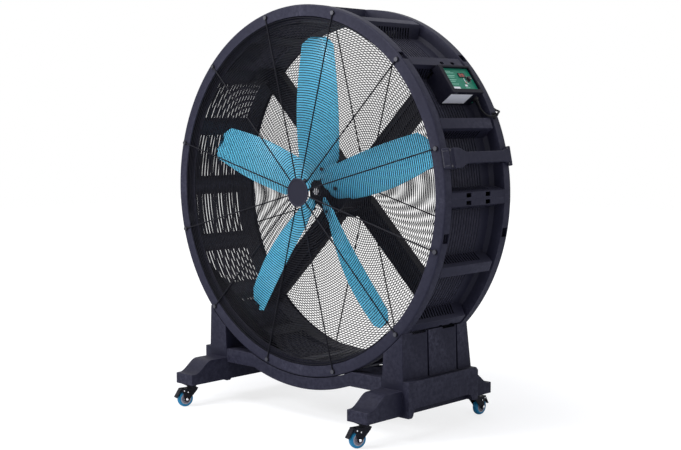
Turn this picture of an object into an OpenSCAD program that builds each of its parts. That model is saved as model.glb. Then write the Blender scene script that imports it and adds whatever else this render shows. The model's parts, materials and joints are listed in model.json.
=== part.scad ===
// Mobile drum fan: a large five-blade fan in a moulded drum, on a cradle base with four casters.
// Millimetres. X runs to the control box side, Y to the back and Z up. The floor is z = 0 and
// the base is centred on the origin; the drum sits a little behind the middle of the base.

/* [Drum] */
// Outer radius of the drum
drum_r = 825; // [815:1:832]
// Depth of the drum, front face to back face
drum_depth = 450; // [440:1:470]
// Height of the drum's underside above the floor
drum_clear = 193; // [189:1:215]
// How far the middle of the drum stands behind the middle of the base
drum_y = 22; // [10:1:30]
// Width of the flat flange that carries each grille
flange_w = 51; // [46:1:56]
// Depth of the front rim
front_rim = 44; // [40:1:50]
// Depth of the rear rim
rear_rim = 48; // [44:1:54]
// Depth of the side pockets between the rims
pocket = 61; // [56:1:66]
// Wall of the drum mouldings
wall = 6; // [5:0.5:8]
// Depth of the pocket floor and of the slats between its air slots
floor_t = 9; // [8:0.5:11]

/* [Drum ribs and slots] */
// Width of a rib's outer face
rib_w = 45; // [38:1:52]
// Width of a seam rib's outer face, both halves together
seam_w = 60; // [54:1:68]
// How much a rib widens on each side towards its foot
rib_flare = 25; // [18:1:30]
// Gap between the rear end of a rib and the rear rim
rib_end_gap = 16; // [10:1:20]
// Number of air slots in each side window
slot_n = 16; // [12:1:16]
// Spacing of the air slots
slot_pitch = 17.5; // [16:0.5:18]
// Width of an air slot
slot_w = 9; // [8:0.5:11]

/* [Grilles] */
// Spacing of the grille rings
ring_pitch = 10.9; // [10.5:0.1:13]
// Wire diameter of the rings
ring_wire = 3.6; // [3:0.2:4.4]
// Wire diameter of the twelve spokes
spoke_wire = 6; // [5:0.5:7]
// Diameter of the disc in the middle of the front grille
badge_d = 128; // [120:1:136]

/* [Rotor] */
// Radius of the blade tips
tip_r = 690; // [660:1:705]
// Radius of the bolt circle that holds the blades
blade_bolt_r = 100; // [96:1:104]
// Thickness of a blade at its root
blade_t = 9; // [7:0.5:10]
// Front face of the hub, from the middle of the drum
hub_front = -100; // [-106:1:-96]

/* [Motor] */
// Radius of the motor housing
motor_r = 105; // [98:1:112]
// Shaft radius
shaft_r = 12; // [10:0.5:14]
// Front face of the cross that carries the motor, from the middle of the drum
cross_y = 112; // [108:1:116]
// Width of an arm of the cross
arm_w = 105; // [96:1:112]
// Depth of an arm of the cross
arm_d = 42; // [36:1:46]

/* [Control box] */
// Direction of the control box seen from the axis, in degrees
box_a = 36; // [35:0.5:37]
// Depth of the box, from the pocket floor to its outer face
box_d = 87.7; // [82.7:0.5:93.7]
// Length of the box from front to back
box_l = 210; // [204:1:214]
// Width of the box around the drum
box_w = 142; // [136:1:146]
// Recess of the control panel
panel_recess = 12; // [8:1:16]

/* [Handle] */
// Direction of the handle seen from the axis, in degrees
handle_a = 11.7; // [11:0.1:12.4]
// Width of the grip bar
grip_w = 48; // [42:1:54]
// Width of the end pads
pad_w = 84; // [76:1:88]

/* [Base] */
// Height of the flat tops of the base
base_top = 254; // [248:1:260]
// How far the inner faces of the side supports lie in from the drum's sides
support_inset = 335; // [329:1:339]
// How far the outer faces of the feet lie in from the drum's sides
foot_inset = 222; // [217:1:227]
// How far the outer faces of the side supports lie in from the drum's sides
post_inset = 184; // [175:1:195]
// Tips of the feet, from the middle
foot_y = 419; // [410:1:430]
// Underside of the feet
foot_z = 107; // [107:1:112]
// Front faces of the crossbars and supports, from the middle
cross_front = 203; // [198:1:208]
// Thickness of the crossbars from front to back
bar_t = 60; // [50:1:70]

/* [Casters] */
// Diameter of the wheels
wheel_d = 75; // [70:1:75]
// Width of the tyres
tyre_w = 27; // [24:1:27]
// Distance from the swivel axis to the wheel's axle
trail = 33; // [30:1:36]
// How far the swivel axes stand behind the tips of the feet
caster_inset = 44; // [42:1:48]
// Angle the front casters are turned to
front_turn = 16; // [0:1:20]

/* [Hidden] */
$fn = 96;

FIT = 0.05;    // running and seating clearance of small round fits
CLEAR = 0.3;   // clearance between large curved faces
TOUCH = 0.02;  // clearance between welded wires

y_front = -drum_depth / 2;
y_back = drum_depth / 2;
axis_h = drum_r + drum_clear;
side_in = drum_r - support_inset;
foot_out = drum_r - foot_inset;
side_out = drum_r - post_inset;
floor_r = drum_r - pocket;
inner_r = floor_r - floor_t;
flange_r = drum_r - flange_w;
pocket_y0 = y_front + front_rim;
pocket_y1 = y_back - rear_rim;
rib_y1 = pocket_y1 - rib_end_gap;
screw_r = drum_r - 20.5;
upper_ribs = [22, 43.3, 65.1];
lower_ribs = [21.3, 41.2, 64];
SEAM_BOLT_Y = [-68, 62];
RIM_NOTCH_W = 40;
CROSS_BOLT_Y = [24, 96];
CROSS_BOLT_A = 42.8;
DRUM_BOLT_A = 48;
upper_notch_a = 45.3;
lower_notch_a = 10.9;
DRUM_BOLT_Y = [y_front + front_rim / 2, y_back - rear_rim / 2];

// Moves to the drum's own frame, turned by a degrees about its axis: X out, Z round, Y back
module at_drum(a = 0) {
    translate([0, drum_y, axis_h]) rotate([0, -a, 0]) children();
}

// Turns a (radius, y) outline about the fan axis from a0 over a degrees
module revolve(a0 = 0, a = 360) {
    rotate([90, 0, 0]) rotate_extrude(angle = a, start = a0, $fn = 180) mirror([0, 1]) children();
}

// Extrudes an (x, z) outline from y0 to y1
module slab(y0, y1) {
    translate([0, y1, 0]) rotate([90, 0, 0]) linear_extrude(y1 - y0) children();
}

// Extrudes a (y, z) outline from x0 to x1
module side_slab(x0, x1) {
    translate([x0, 0, 0]) rotate([90, 0, 90]) linear_extrude(x1 - x0) children();
}

// A round bar along Y
module y_rod(r, y0, y1) {
    translate([0, y1, 0]) rotate([90, 0, 0]) cylinder(r = r, h = y1 - y0, $fn = r > 200 ? 360 : 96);
}

// A hexagon along Z with its flats af apart
module hex(af, h) {
    cylinder(d = af / cos(30), h = h, $fn = 6);
}

// A hexagon bolt along -Z with its head on z = 0 and its nut grip below
module bolt(d, grip, af) {
    translate([0, 0, 0]) hex(af, d * 0.65);
    translate([0, 0, -grip - d * 1.1]) cylinder(d = d, h = grip + d * 1.1 + 1, $fn = 24);
    translate([0, 0, -grip - d * 0.8]) hex(af, d * 0.8);
}

// ---- Drum ----

// Outline of the drum wall: two rims that open inwards, joined by the pocket floor
module drum_outline() {
    e = 8;
    polygon([
        [flange_r, y_front], [drum_r - e, y_front], [drum_r - 0.3 * e, y_front + 0.3 * e],
        [drum_r, y_front + e], [drum_r, pocket_y0], [floor_r, pocket_y0],
        [floor_r, pocket_y1 - 24], [floor_r + 15, pocket_y1 - 8], [drum_r, pocket_y1],
        [drum_r, y_back - e], [drum_r - 0.3 * e, y_back - 0.3 * e], [drum_r - e, y_back],
        [flange_r, y_back], [flange_r, y_back - wall], [drum_r - wall - 2, y_back - wall],
        [drum_r - wall, y_back - wall - 2], [drum_r - wall, pocket_y1 + wall],
        [inner_r, pocket_y1 + wall], [inner_r, pocket_y0 - wall],
        [drum_r - wall, pocket_y0 - wall], [drum_r - wall, y_front + wall + 2],
        [drum_r - wall - 2, y_front + wall], [flange_r, y_front + wall]
    ]);
}

// Cross-section of a rib: z0 and z1 are the edges of its outer face, g0 and g1 its flares
module rib_outline(z0, z1, g0, g1, inset) {
    x0 = inset > 0 ? floor_r + 1 : inner_r + 2;
    x1 = drum_r - (inset > 0 ? wall : 0.4);
    polygon([[x0, z0 - g0 + inset], [x1, z0 + inset], [x1, z1 - inset], [x0, z1 + g1 - inset]]);
}

module rib(a) {
    rotate([0, -a, 0]) slab(pocket_y0 - 2, rib_y1) rib_outline(-rib_w / 2, rib_w / 2, rib_flare, rib_flare, 0);
}

module rib_cavity(a) {
    rotate([0, -a, 0]) slab(pocket_y0 + 2, rib_y1 - wall)
        rib_outline(-rib_w / 2, rib_w / 2, rib_flare, rib_flare, wall);
}

// Half of a seam rib; side is 1 above the seam at angle a and -1 below it
module seam_half(a, side) {
    rotate([0, -a, 0]) mirror([0, 0, side < 0 ? 1 : 0])
        slab(pocket_y0 - 2, pocket_y1 + 2) rib_outline(0, seam_w / 2, 0, rib_flare - 8, 0);
}

module seam_cavity(a, side) {
    rotate([0, -a, 0]) mirror([0, 0, side < 0 ? 1 : 0])
        slab(pocket_y0 + 2, pocket_y1 - wall) rib_outline(0, seam_w / 2, 0, rib_flare - 8, wall);
}

// Bolt window in the outer face of a half seam rib, with the bolt hole through the seam wall
module seam_window(a, side) {
    rotate([0, -a, 0]) mirror([0, 0, side < 0 ? 1 : 0]) for (y = SEAM_BOLT_Y) {
        translate([drum_r - 40, y - 16, wall + 1]) cube([60, 32, seam_w / 2 - wall - 6]);
        translate([drum_r - 24, y, -1]) cylinder(r = 4.5, h = wall + 3);
    }
}

// Angle of the foot of a rib, measured at the pocket floor
function foot_deg(half, flare) = atan((half + flare) / floor_r);

// Air slots between two ribs whose feet end at a0 and a1
module slots(a0, a1) {
    top_r = drum_r - 17;
    lean = atan((rib_flare * (top_r - floor_r) / pocket) / floor_r);
    through = atan((wall + 2) / floor_r);
    p = [[inner_r - 12, a0 - through], [top_r, a0 - lean - through],
         [top_r, a1 + lean + through], [inner_r - 12, a1 + through]];
    for (k = [0 : slot_n - 1]) {
        y = pocket_y0 + 3 + k * slot_pitch;
        slab(y, y + slot_w) polygon([for (q = p) q[0] * [cos(q[1]), sin(q[1])]]);
    }
}

// One quarter of the drum, drawn from its seam at 0 degrees to its seam at 90 degrees
module quarter(ribs, features = "none") {
    half = foot_deg(rib_w / 2, rib_flare);
    half_seam = foot_deg(seam_w / 2, rib_flare - 8);
    a0s = concat([half_seam], [for (a = ribs) a + half]);
    a1s = concat([for (a = ribs) a - half], [90 - half_seam]);
    difference() {
        union() {
            revolve(0, 90) drum_outline();
            for (a = ribs) rib(a);
            seam_half(0, 1);
            seam_half(90, -1);
        }
        for (a = ribs) rib_cavity(a);
        seam_cavity(0, 1);
        seam_cavity(90, -1);
        seam_window(0, 1);
        seam_window(90, -1);
        for (k = [0 : 3]) slots(a0s[k], a1s[k]);
        // grille screws, front and back
        for (a = [15, 45, 75]) rotate([0, -a, 0]) translate([screw_r, 0, 0]) {
            y_rod(2.7, y_front - 1, y_front + wall + 1);
            y_rod(2.7, y_back - wall - 1, y_back + 1);
        }
        // notches across both rims
        notch = features == "lower" ? lower_notch_a : upper_notch_a;
        rotate([0, -notch, 0]) for (y = [[y_front + 10, pocket_y0 - 3], [pocket_y1 + 6, y_back - 10]])
            translate([drum_r - wall - 6, y[0], -RIM_NOTCH_W / 2])
                cube([wall + 20, y[1] - y[0], RIM_NOTCH_W]);
        // bolt holes for the foot of the motor cross, and the openings that reach them
        rotate([0, -CROSS_BOLT_A, 0]) for (y = CROSS_BOLT_Y) translate([0, y, 0]) rotate([0, 90, 0]) {
            translate([0, 0, inner_r - 6]) cylinder(r = 5.5, h = floor_t + 10);
            translate([0, 0, drum_r - wall - 4]) slot_hole(7, 24, wall + 8);
        }
        // holes for the bolts of the base
        if (features == "lower") rotate([0, -DRUM_BOLT_A, 0]) for (y = DRUM_BOLT_Y)
            translate([drum_r - wall - 2, y, 0]) rotate([0, 90, 0]) cylinder(r = 4.5, h = wall + 4);
        // holes for the housing screws
        if (features == "handle") housing_screws_at() cylinder(r = 2.6, h = 48, center = true);
    }
}

// A round-ended hole along Z, its length along Y
module slot_hole(r, l, h) {
    for (s = [-1, 1]) translate([0, s * (l / 2 - r), 0]) cylinder(r = r, h = h);
    translate([-r, -(l / 2 - r), 0]) cube([2 * r, l - 2 * r, h]);
}

module shroud_upper_right() {
    color([0.24, 0.24, 0.29]) at_drum() quarter(upper_ribs, "handle");
}

module shroud_upper_left() {
    color([0.24, 0.24, 0.29]) at_drum() mirror([1, 0, 0]) quarter(upper_ribs);
}

module shroud_lower_right() {
    color([0.22, 0.22, 0.27]) at_drum() mirror([0, 0, 1]) quarter(lower_ribs, "lower");
}

module shroud_lower_left() {
    color([0.22, 0.22, 0.27]) at_drum() mirror([0, 0, 1]) mirror([1, 0, 0]) quarter(lower_ribs, "lower");
}

module seam_bolts() {
    color([0.2, 0.2, 0.22]) for (a = [0 : 90 : 270], y = SEAM_BOLT_Y) at_drum(a)
        translate([drum_r - 24, y, wall + FIT]) bolt(8, 2 * wall + 2 * FIT, 13);
}

// ---- Grilles ----

ring_r0 = badge_d / 2 + 6;
ring_n = floor((flange_r - ring_wire - ring_r0) / ring_pitch);
spoke_y = y_front - spoke_wire / 2;
ring_y = spoke_y + spoke_wire / 2 + ring_wire / 2 + TOUCH;
eye_r = 7.5;

// One radial spoke with an eye round its screw
module spoke() {
    rotate([0, 90, 0]) translate([0, 0, badge_d / 2 - 6])
        cylinder(d = spoke_wire, h = screw_r - eye_r - badge_d / 2 + 6, $fn = 24);
    translate([screw_r, 0, 0]) rotate([90, 0, 0]) rotate_extrude($fn = 32)
        translate([eye_r, 0]) circle(d = spoke_wire + 0.2, $fn = 16);
}

// A grille: rings on the drum side of twelve spokes
module grille() {
    revolve() for (k = [0 : ring_n]) translate([ring_r0 + k * ring_pitch, ring_y])
        circle(d = ring_wire, $fn = 6);
    for (a = [15 : 30 : 345]) rotate([0, -a, 0]) translate([0, spoke_y - 0.1, 0]) spoke();
}

module front_grille() {
    color([0.08, 0.08, 0.09]) at_drum() grille();
}

module rear_grille() {
    color([0.08, 0.08, 0.09]) at_drum() mirror([0, 1, 0]) grille();
}

module front_badge() {
    face = spoke_y - spoke_wire / 2 - 0.2;
    color([0.16, 0.16, 0.18]) at_drum() difference() {
        y_rod(badge_d / 2, face - 5, face);
        y_rod(badge_d / 2 - 8, face - 6, face - 3);
    }
}

module grille_screws() {
    color([0.25, 0.25, 0.28]) for (a = [15 : 30 : 345], side = [1, -1]) at_drum(a)
        mirror([0, side < 0 ? 1 : 0, 0]) translate([screw_r, 0, 0]) {
            y_rod(2.6, spoke_y - 6, y_front + wall + 8);
            y_rod(9, spoke_y - spoke_wire / 2 - 3.2, spoke_y - spoke_wire / 2 - 0.25);
        }
}

// ---- Motor and its cross ----

cross_out = inner_r - CLEAR;
motor_front = -24;
bearing_r = 26;
bearing_w = 10;
stator_r = motor_r - 10;
rotor_core_r = 55;
journal_r = shaft_r + 8;
core_y = [4, 70];

module cross_arm() {
    ridge = 12;
    difference() {
        union() {
            translate([90, cross_y, -arm_w / 2]) cube([cross_out - 90 + 5, arm_d, arm_w]);
            for (s = [-1, 1]) translate([motor_r + 30, cross_y - 5, s * arm_w / 4 - ridge / 2])
                cube([cross_out - motor_r - 50, 6, ridge]);
            translate([cross_out - 9, 5, -arm_w / 2]) cube([20, cross_y + arm_d + 2 - 5, arm_w]);
        }
        translate([motor_r + 26, cross_y + 5, -arm_w / 2 + 5])
            cube([cross_out - motor_r - 44, arm_d, arm_w - 10]);
    }
}

module motor_cross() {
    color([0.13, 0.13, 0.16]) at_drum() difference() {
        union() {
            for (a = [45 : 90 : 315]) rotate([0, -a, 0]) intersection() {
                cross_arm();
                y_rod(cross_out, -10, 240);
            }
            y_rod(motor_r + 25, cross_y, cross_y + 6);
        }
        y_rod(journal_r + 4, cross_y - 1, cross_y + 20);
        cross_bolts_at() cylinder(r = 5.5, h = 60, center = true);
        motor_bolts_at() cylinder(r = 5.5, h = 40, center = true);
    }
}

// Places of the eight bolts through the drum wall: Z outwards, z = 0 on the drum's inner wall
module cross_bolts_at() {
    for (m = [0, 1], n = [0, 1], y = CROSS_BOLT_Y) mirror([m, 0, 0]) mirror([0, 0, n])
        rotate([0, -CROSS_BOLT_A, 0]) translate([inner_r, y, 0]) rotate([0, 90, 0]) children();
}

// Places of the four bolts that hold the motor: Z to the back, z = 0 on the back of the cross plate
module motor_bolts_at() {
    for (a = [0 : 90 : 270]) rotate([0, -a, 0]) translate([motor_r - 18, cross_y + 6, 0])
        rotate([-90, 0, 0]) children();
}

module cross_bolts() {
    color([0.2, 0.2, 0.22]) at_drum() {
        cross_bolts_at() translate([0, 0, floor_t + 1.5]) bolt(10, floor_t + 11.5, 16);
        motor_bolts_at() {
            translate([0, 0, FIT]) hex(16, 6.5);
            translate([0, 0, -26]) cylinder(d = 10, h = 27, $fn = 24);
        }
    }
}

module motor_body() {
    color([0.1, 0.1, 0.12]) at_drum() difference() {
        union() {
            y_rod(motor_r - 6, motor_front + 14, cross_y);
            for (a = [0 : 15 : 345]) rotate([0, -a, 0])
                translate([motor_r - 8, motor_front + 20, -2]) cube([8, cross_y - motor_front - 40, 4]);
            y_rod(motor_r, cross_y - 14, cross_y);
        }
        difference() {
            y_rod(stator_r, motor_front + 13, cross_y - 20);
            y_rod(bearing_r + 8, core_y[1] + 2, cross_y);
        }
        y_rod(bearing_r + FIT, core_y[1], core_y[1] + bearing_w + 2);
        y_rod(journal_r - 4, core_y[1], cross_y - 14);
        motor_bolts_at() translate([0, 0, -32]) cylinder(d = 10 + 2 * FIT, h = 33, $fn = 24);
    }
}

module motor_front_cap() {
    color([0.1, 0.1, 0.12]) at_drum() difference() {
        union() {
            y_rod(motor_r - 2, motor_front, motor_front + 14);
            y_rod(bearing_r + 10, motor_front, motor_front + 20);
        }
        y_rod(bearing_r + FIT, motor_front + 2, motor_front + 21);
        y_rod(shaft_r + 2, motor_front - 1, motor_front + 3);
    }
}

module motor_stator() {
    color([0.55, 0.3, 0.14]) at_drum() difference() {
        y_rod(stator_r - FIT, core_y[0] + 2, core_y[1] - 2);
        y_rod(rotor_core_r + 1, core_y[0], core_y[1]);
    }
}

// Two ball bearings in which the shaft runs
module motor_bearings() {
    color([0.75, 0.75, 0.78]) at_drum() for (y = [motor_front + 4, core_y[1] + 1.5]) difference() {
        y_rod(bearing_r, y, y + bearing_w);
        y_rod(shaft_r + FIT, y - 1, y + bearing_w + 1);
    }
}

module motor_shaft() {
    color([0.72, 0.72, 0.75]) at_drum() {
        y_rod(shaft_r, hub_front - 22, core_y[1] + bearing_w + 2);
        y_rod(journal_r, motor_front + 4 + bearing_w + 2, core_y[1] - 2);
    }
}

module motor_rotor() {
    color([0.5, 0.5, 0.53]) at_drum() difference() {
        y_rod(rotor_core_r, core_y[0] + 2, core_y[1] - 3);
        y_rod(journal_r + FIT, core_y[0], core_y[1]);
    }
}

// ---- Blades ----

blade_r0 = blade_bolt_r + 12;
root_pitch = 37;
root_y = hub_front + 2;
root_t = -3;
lug_t = -10;
lug_r = 23;
hub_r = 58;
arm_t = 14;
STATIONS = [for (k = [0 : 18]) k / 18];
SECTION_N = 7;

// Blade laws along the span, s = 0 at the root and 1 at the tip
function span_r(s) = blade_r0 + s * (tip_r - blade_r0);
function chord(s) = 176 - 26 * s + 34 * sin(180 * s);
function pitch(s) = root_pitch - 32 * s + 12 * s * s;
function mid_t(s) = root_t - 10 * sin(180 * s);
function mid_y(s) = root_y - 18 * sin(180 * s) - 9 * s;
function half_t(s) = (blade_t / 2 - 0.4) * (1 - 0.45 * s);
function camber(s) = 16 * max(0, s - 0.04);
function ends(s) = s > 0.95 ? pow(1 - pow((s - 0.95) / 0.0515, 3), 1 / 3)
    : s < 0.06 ? 1 - 0.35 * pow((0.06 - s) / 0.06, 2) : 1;

// Point of a blade section: u runs across the chord from -1 to 1, n is +1 behind and -1 in front
function blade_point(s, u, n) =
    let (c = chord(s) / 2 * ends(s), b = pitch(s),
         y = camber(s) * (1 - u * u) + n * half_t(s) * sqrt(max(0, 1 - 0.9 * u * u)))
    [span_r(s), mid_y(s) - c * u * sin(b) + y * cos(b), mid_t(s) + c * u * cos(b) + y * sin(b)];

function blade_ring(s) = concat(
    [for (k = [0 : SECTION_N]) blade_point(s, -cos(180 * k / SECTION_N), 1)],
    [for (k = [0 : SECTION_N]) blade_point(s, cos(180 * k / SECTION_N), -1)]);

// Joins rings of points into a closed body, its ends closed by strips across the ring
module skin(rings) {
    n = len(rings[0]);
    m = len(rings);
    e = (m - 1) * n;
    polyhedron(
        points = [for (r = rings) each r],
        faces = concat(
            [for (j = [0 : n / 2 - 2], f = [0, 1])
                f == 0 ? [j, j + 1, n - 2 - j] : [j, n - 2 - j, n - 1 - j]],
            [for (j = [0 : n / 2 - 2], f = [0, 1])
                f == 0 ? [e + n - 2 - j, e + j + 1, e + j] : [e + n - 1 - j, e + n - 2 - j, e + j]],
            [for (i = [0 : m - 2], j = [0 : n - 1], f = [0, 1])
                let (a = i * n + j, b = i * n + (j + 1) % n)
                f == 0 ? [a, a + n, b + n] : [a, b + n, b]]));
}

// The plane of a blade's root: X out, Y behind the blade, Z across its chord
module root_frame() {
    translate([0, root_y, root_t]) rotate([root_pitch, 0, 0]) children();
}

// Direction of blade k
function blade_a(k) = 90 - 72 * (k - 1);

module blade(k) {
    at_drum(blade_a(k)) difference() {
        union() {
            skin([for (s = STATIONS) blade_ring(min(s, 0.999))]);
            root_frame() {
                translate([blade_bolt_r, blade_t / 2, lug_t]) rotate([90, 0, 0])
                    cylinder(r = lug_r, h = blade_t);
                translate([blade_bolt_r, -blade_t / 2, lug_t - lug_r])
                    cube([lug_r + 6, blade_t, 2 * lug_r]);
            }
        }
        root_frame() translate([blade_bolt_r, 20, lug_t]) rotate([90, 0, 0]) cylinder(r = 5.5, h = 40);
    }
}

module blade_1() { color([0.29, 0.63, 0.75]) blade(1); }
module blade_2() { color([0.29, 0.63, 0.75]) blade(2); }
module blade_3() { color([0.29, 0.63, 0.75]) blade(3); }
module blade_4() { color([0.29, 0.63, 0.75]) blade(4); }
module blade_5() { color([0.29, 0.63, 0.75]) blade(5); }

module blade_hub() {
    color([0.07, 0.07, 0.08]) at_drum() difference() {
        union() {
            y_rod(hub_r, hub_front, hub_front + 56);
            for (k = [1 : 5]) rotate([0, -blade_a(k), 0]) root_frame()
                translate([42, blade_t / 2, lug_t - lug_r]) cube([blade_r0 + 6 - 42, arm_t, 2 * lug_r]);
        }
        y_rod(shaft_r + FIT, hub_front - 20, hub_front + 60);
        for (k = [1 : 5]) rotate([0, -blade_a(k), 0]) root_frame()
            translate([blade_bolt_r, 40, lug_t]) rotate([90, 0, 0]) cylinder(r = 5.5, h = 60);
    }
}

module blade_bolts() {
    color([0.3, 0.3, 0.32]) for (k = [1 : 5]) at_drum(blade_a(k)) root_frame()
        translate([blade_bolt_r, -blade_t / 2 - FIT, lug_t]) rotate([90, 0, 0])
            bolt(10, blade_t + arm_t + 2 * FIT, 16);
}

module shaft_nut() {
    color([0.75, 0.75, 0.78]) at_drum() difference() {
        union() {
            y_rod(22, hub_front - 3.1, hub_front - 0.1);
            translate([0, hub_front - 3, 0]) rotate([90, 0, 0]) hex(34, 15);
        }
        y_rod(shaft_r + FIT, hub_front - 30, hub_front + 1);
    }
}

// ---- Handle ----

grip_in = drum_r - 13;
handle_out = drum_r + 17;
handle_screw_z = 33;
handle_screw_y = [y_front + 40, y_back - 22];
GROOVE_D = 4;

module carry_handle() {
    h = grip_w / 2;
    p = pad_w / 2;
    color([0.25, 0.25, 0.29]) at_drum(handle_a) difference() {
        translate([grip_in, 0, 0]) rotate([90, 0, 90]) linear_extrude(handle_out - grip_in)
            polygon([
                [y_front, -p], [pocket_y0 + 50, -p], [pocket_y0 + 66, -p + 3], [pocket_y0 + 84, -h - 7],
                [pocket_y0 + 104, -h], [pocket_y1 - 5, -h], [pocket_y1 + 12, -h - 4],
                [pocket_y1 + 34, -p], [y_back, -p], [y_back, p], [pocket_y1 + 34, p],
                [pocket_y1 + 12, h + 4], [pocket_y1 - 5, h], [pocket_y0 + 104, h],
                [pocket_y0 + 84, h + 7], [pocket_y0 + 66, p - 3], [pocket_y0 + 50, p], [y_front, p]
            ]);
        y_rod(drum_r + 0.2, y_front - 1, pocket_y0 + 0.5);
        y_rod(drum_r + 0.2, pocket_y1 - 2.5, y_back + 1);
        // sloping front end and the groove behind it for the front screws
        translate([0, 0, -p - 1]) linear_extrude(2 * p + 2) {
            polygon([
                [drum_r + 4, y_front - 1], [handle_out + 1, y_front + 26],
                [handle_out + 9, y_front + 26], [handle_out + 9, y_front - 1]
            ]);
            translate([handle_out - GROOVE_D, y_front + 33]) square([GROOVE_D + 9, 27]);
        }
        for (y = handle_screw_y, z = [-1, 1]) translate([0, y, z * handle_screw_z]) rotate([0, 90, 0])
            cylinder(r = 2.6, h = drum_r + 40);
        // seats of the rear screws
        for (z = [-1, 1]) translate([handle_out - GROOVE_D, handle_screw_y[1], z * handle_screw_z])
            rotate([0, 90, 0]) cylinder(r = 6, h = 20);
    }
}

// Places of the screws of the handle, the box and the cord hook: Z outwards, z = 0 under the head
module housing_screws_at() {
    rotate([0, -handle_a, 0]) for (y = handle_screw_y, z = [-1, 1])
        translate([handle_out - GROOVE_D, y, z * handle_screw_z]) rotate([0, 90, 0]) children();
    rotate([0, -box_a, 0]) for (y = box_screw_y, z = box_screw_z)
        translate([box_in + BOX_WALL, y, z]) rotate([0, 90, 0]) children();
    for (z = HOOK_SCREW_Z) translate([hook_x, y_back + FIT + HOOK_T, z]) rotate([-90, 0, 0]) children();
}

module housing_screws() {
    color([0.12, 0.12, 0.13]) at_drum() housing_screws_at() {
        translate([0, 0, FIT]) cylinder(r = 5, h = 3, $fn = 24);
        translate([0, 0, -22]) cylinder(r = 2.5, h = 23, $fn = 24);
    }
}

// ---- Control box ----

BOX_WALL = 4;
BOX_REAR_GAP = 31;
box_y0 = pocket_y1 - BOX_REAR_GAP - box_l;
box_z0 = -80;
box_in = floor_r + CLEAR;
box_out = box_in + box_d;
box_step = 40;
box_lid_x = box_out - box_step;
panel_x = box_out - panel_recess;
panel_y = [box_y0 + 24, box_y0 + box_l - 10];
panel_z = [box_z0 + 19, box_z0 + box_w - 10];
// the box stands on the solid rear of the pocket floor and on one of its slats
box_screw_y = [pocket_y0 + 3 + 8 * slot_pitch - (slot_pitch - slot_w) / 2, box_y0 + box_l - 22];
box_screw_z = [box_z0 + 24, box_z0 + box_w - 56];
knob_at = [box_y0 + 167, box_z0 + 76];
gland_at = [drum_r - 11, box_y0 + box_l - 24];

// Moves to the box's own frame: X outwards, Y to the back, Z up the panel
module at_box() {
    at_drum(box_a) children();
}

module control_box() {
    w = BOX_WALL;
    y1 = box_y0 + box_l;
    z1 = box_z0 + box_w;
    color([0.17, 0.17, 0.2]) at_box() difference() {
        union() {
            translate([box_in, box_y0, box_z0]) cube([box_out - box_in - 1, box_l, box_w - 18]);
            translate([box_lid_x, box_y0, box_z0]) cube([box_step, box_l, box_w]);
        }
        translate([box_in + w, box_y0 + w, box_z0 + w])
            cube([panel_x - box_in - w, box_l - 2 * w, box_w - 18 - 2 * w]);
        translate([box_lid_x + w, box_y0 + w, box_z0 + w])
            cube([panel_x - box_lid_x - w, box_l - 2 * w, box_w - 2 * w]);
        translate([panel_x - 1, panel_y[0], panel_z[0]])
            cube([40, panel_y[1] - panel_y[0], panel_z[1] - panel_z[0]]);
        translate([gland_at[0], gland_at[1], box_z0 - 1]) cylinder(r = 8 + FIT, h = w + 2);
        for (y = box_screw_y, z = box_screw_z) translate([box_in - 1, y, z]) rotate([0, 90, 0])
            cylinder(r = 2.6, h = w + 2);
    }
}

module control_panel() {
    color([0.12, 0.52, 0.44]) at_box() difference() {
        translate([panel_x - 3 - FIT, panel_y[0] - 4, panel_z[0] - 4])
            cube([3, panel_y[1] - panel_y[0] + 8, panel_z[1] - panel_z[0] + 8]);
        translate([panel_x - 5, knob_at[0], knob_at[1]]) rotate([0, 90, 0]) cylinder(r = 3 + FIT, h = 8);
    }
}

module speed_knob() {
    color([0.06, 0.06, 0.07]) at_box() translate([panel_x, knob_at[0], knob_at[1]]) rotate([0, 90, 0]) {
        translate([0, 0, 0.5]) cylinder(r1 = 12, r2 = 10.5, h = 12);
        translate([0, 0, -12]) cylinder(r = 3, h = 14, $fn = 24);
    }
}

module cord_gland() {
    color([0.1, 0.1, 0.11]) at_box() translate([gland_at[0], gland_at[1], box_z0]) difference() {
        union() {
            translate([0, 0, -12]) cylinder(r = 11, h = 12 - FIT);
            translate([0, 0, -2]) cylinder(r = 8, h = BOX_WALL + 4);
        }
        translate([0, 0, -13]) cylinder(r = cord_r + 0.2, h = 30);
    }
}

// ---- Power cord and its hook ----

cord_r = 4.5;
coil_r = 54;
coil_t = 18;
hook_x = 486;
hook_top = 560;
HOOK_W = 24;
HOOK_T = 3;
HOOK_SCREW_Z = [618, 642];
coil_c = [hook_x, y_back + 9 + coil_t, hook_top + CLEAR - coil_r + coil_t];
plug_at = coil_c - [coil_r, 0, 84];
CORD_RINGS = 8;
// route points between the gland and the coil
cord_mid = [
    [729, 125, 374], [743, 133, 352], [757, 148, 338], [766, 168, 336], [767, 192, 344],
    [761, 216, 353], [744, 240, 358], [716, 255, 364], [684, 259, 384], [654, 260, 418],
    [628, 259, 452], [600, 256, 486]
];

// Smooth curve through the points
function cord_spline(p, n) = [for (i = [0 : len(p) - 2], k = [0 : n - 1])
    let (t = k / n, a = p[max(0, i - 1)], b = p[i], c = p[i + 1], d = p[min(len(p) - 1, i + 2)])
    0.5 * (2 * b + (c - a) * t + (2 * a - 5 * b + 4 * c - d) * t * t
        + (3 * b - a - 3 * c + d) * t * t * t), p[len(p) - 1]];

function unit(v) = v / norm(v);
function cord_ring(p, i) =
    let (d = unit(p[min(len(p) - 1, i + 1)] - p[max(0, i - 1)]),
         s = unit(cross(d, abs(d[2]) > 0.8 ? [1, 0, 0] : [0, 0, 1])), t = cross(s, d))
    [for (k = [0 : CORD_RINGS - 1]) p[i] + cord_r * (cos(45 * k) * s + sin(45 * k) * t)];

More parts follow.
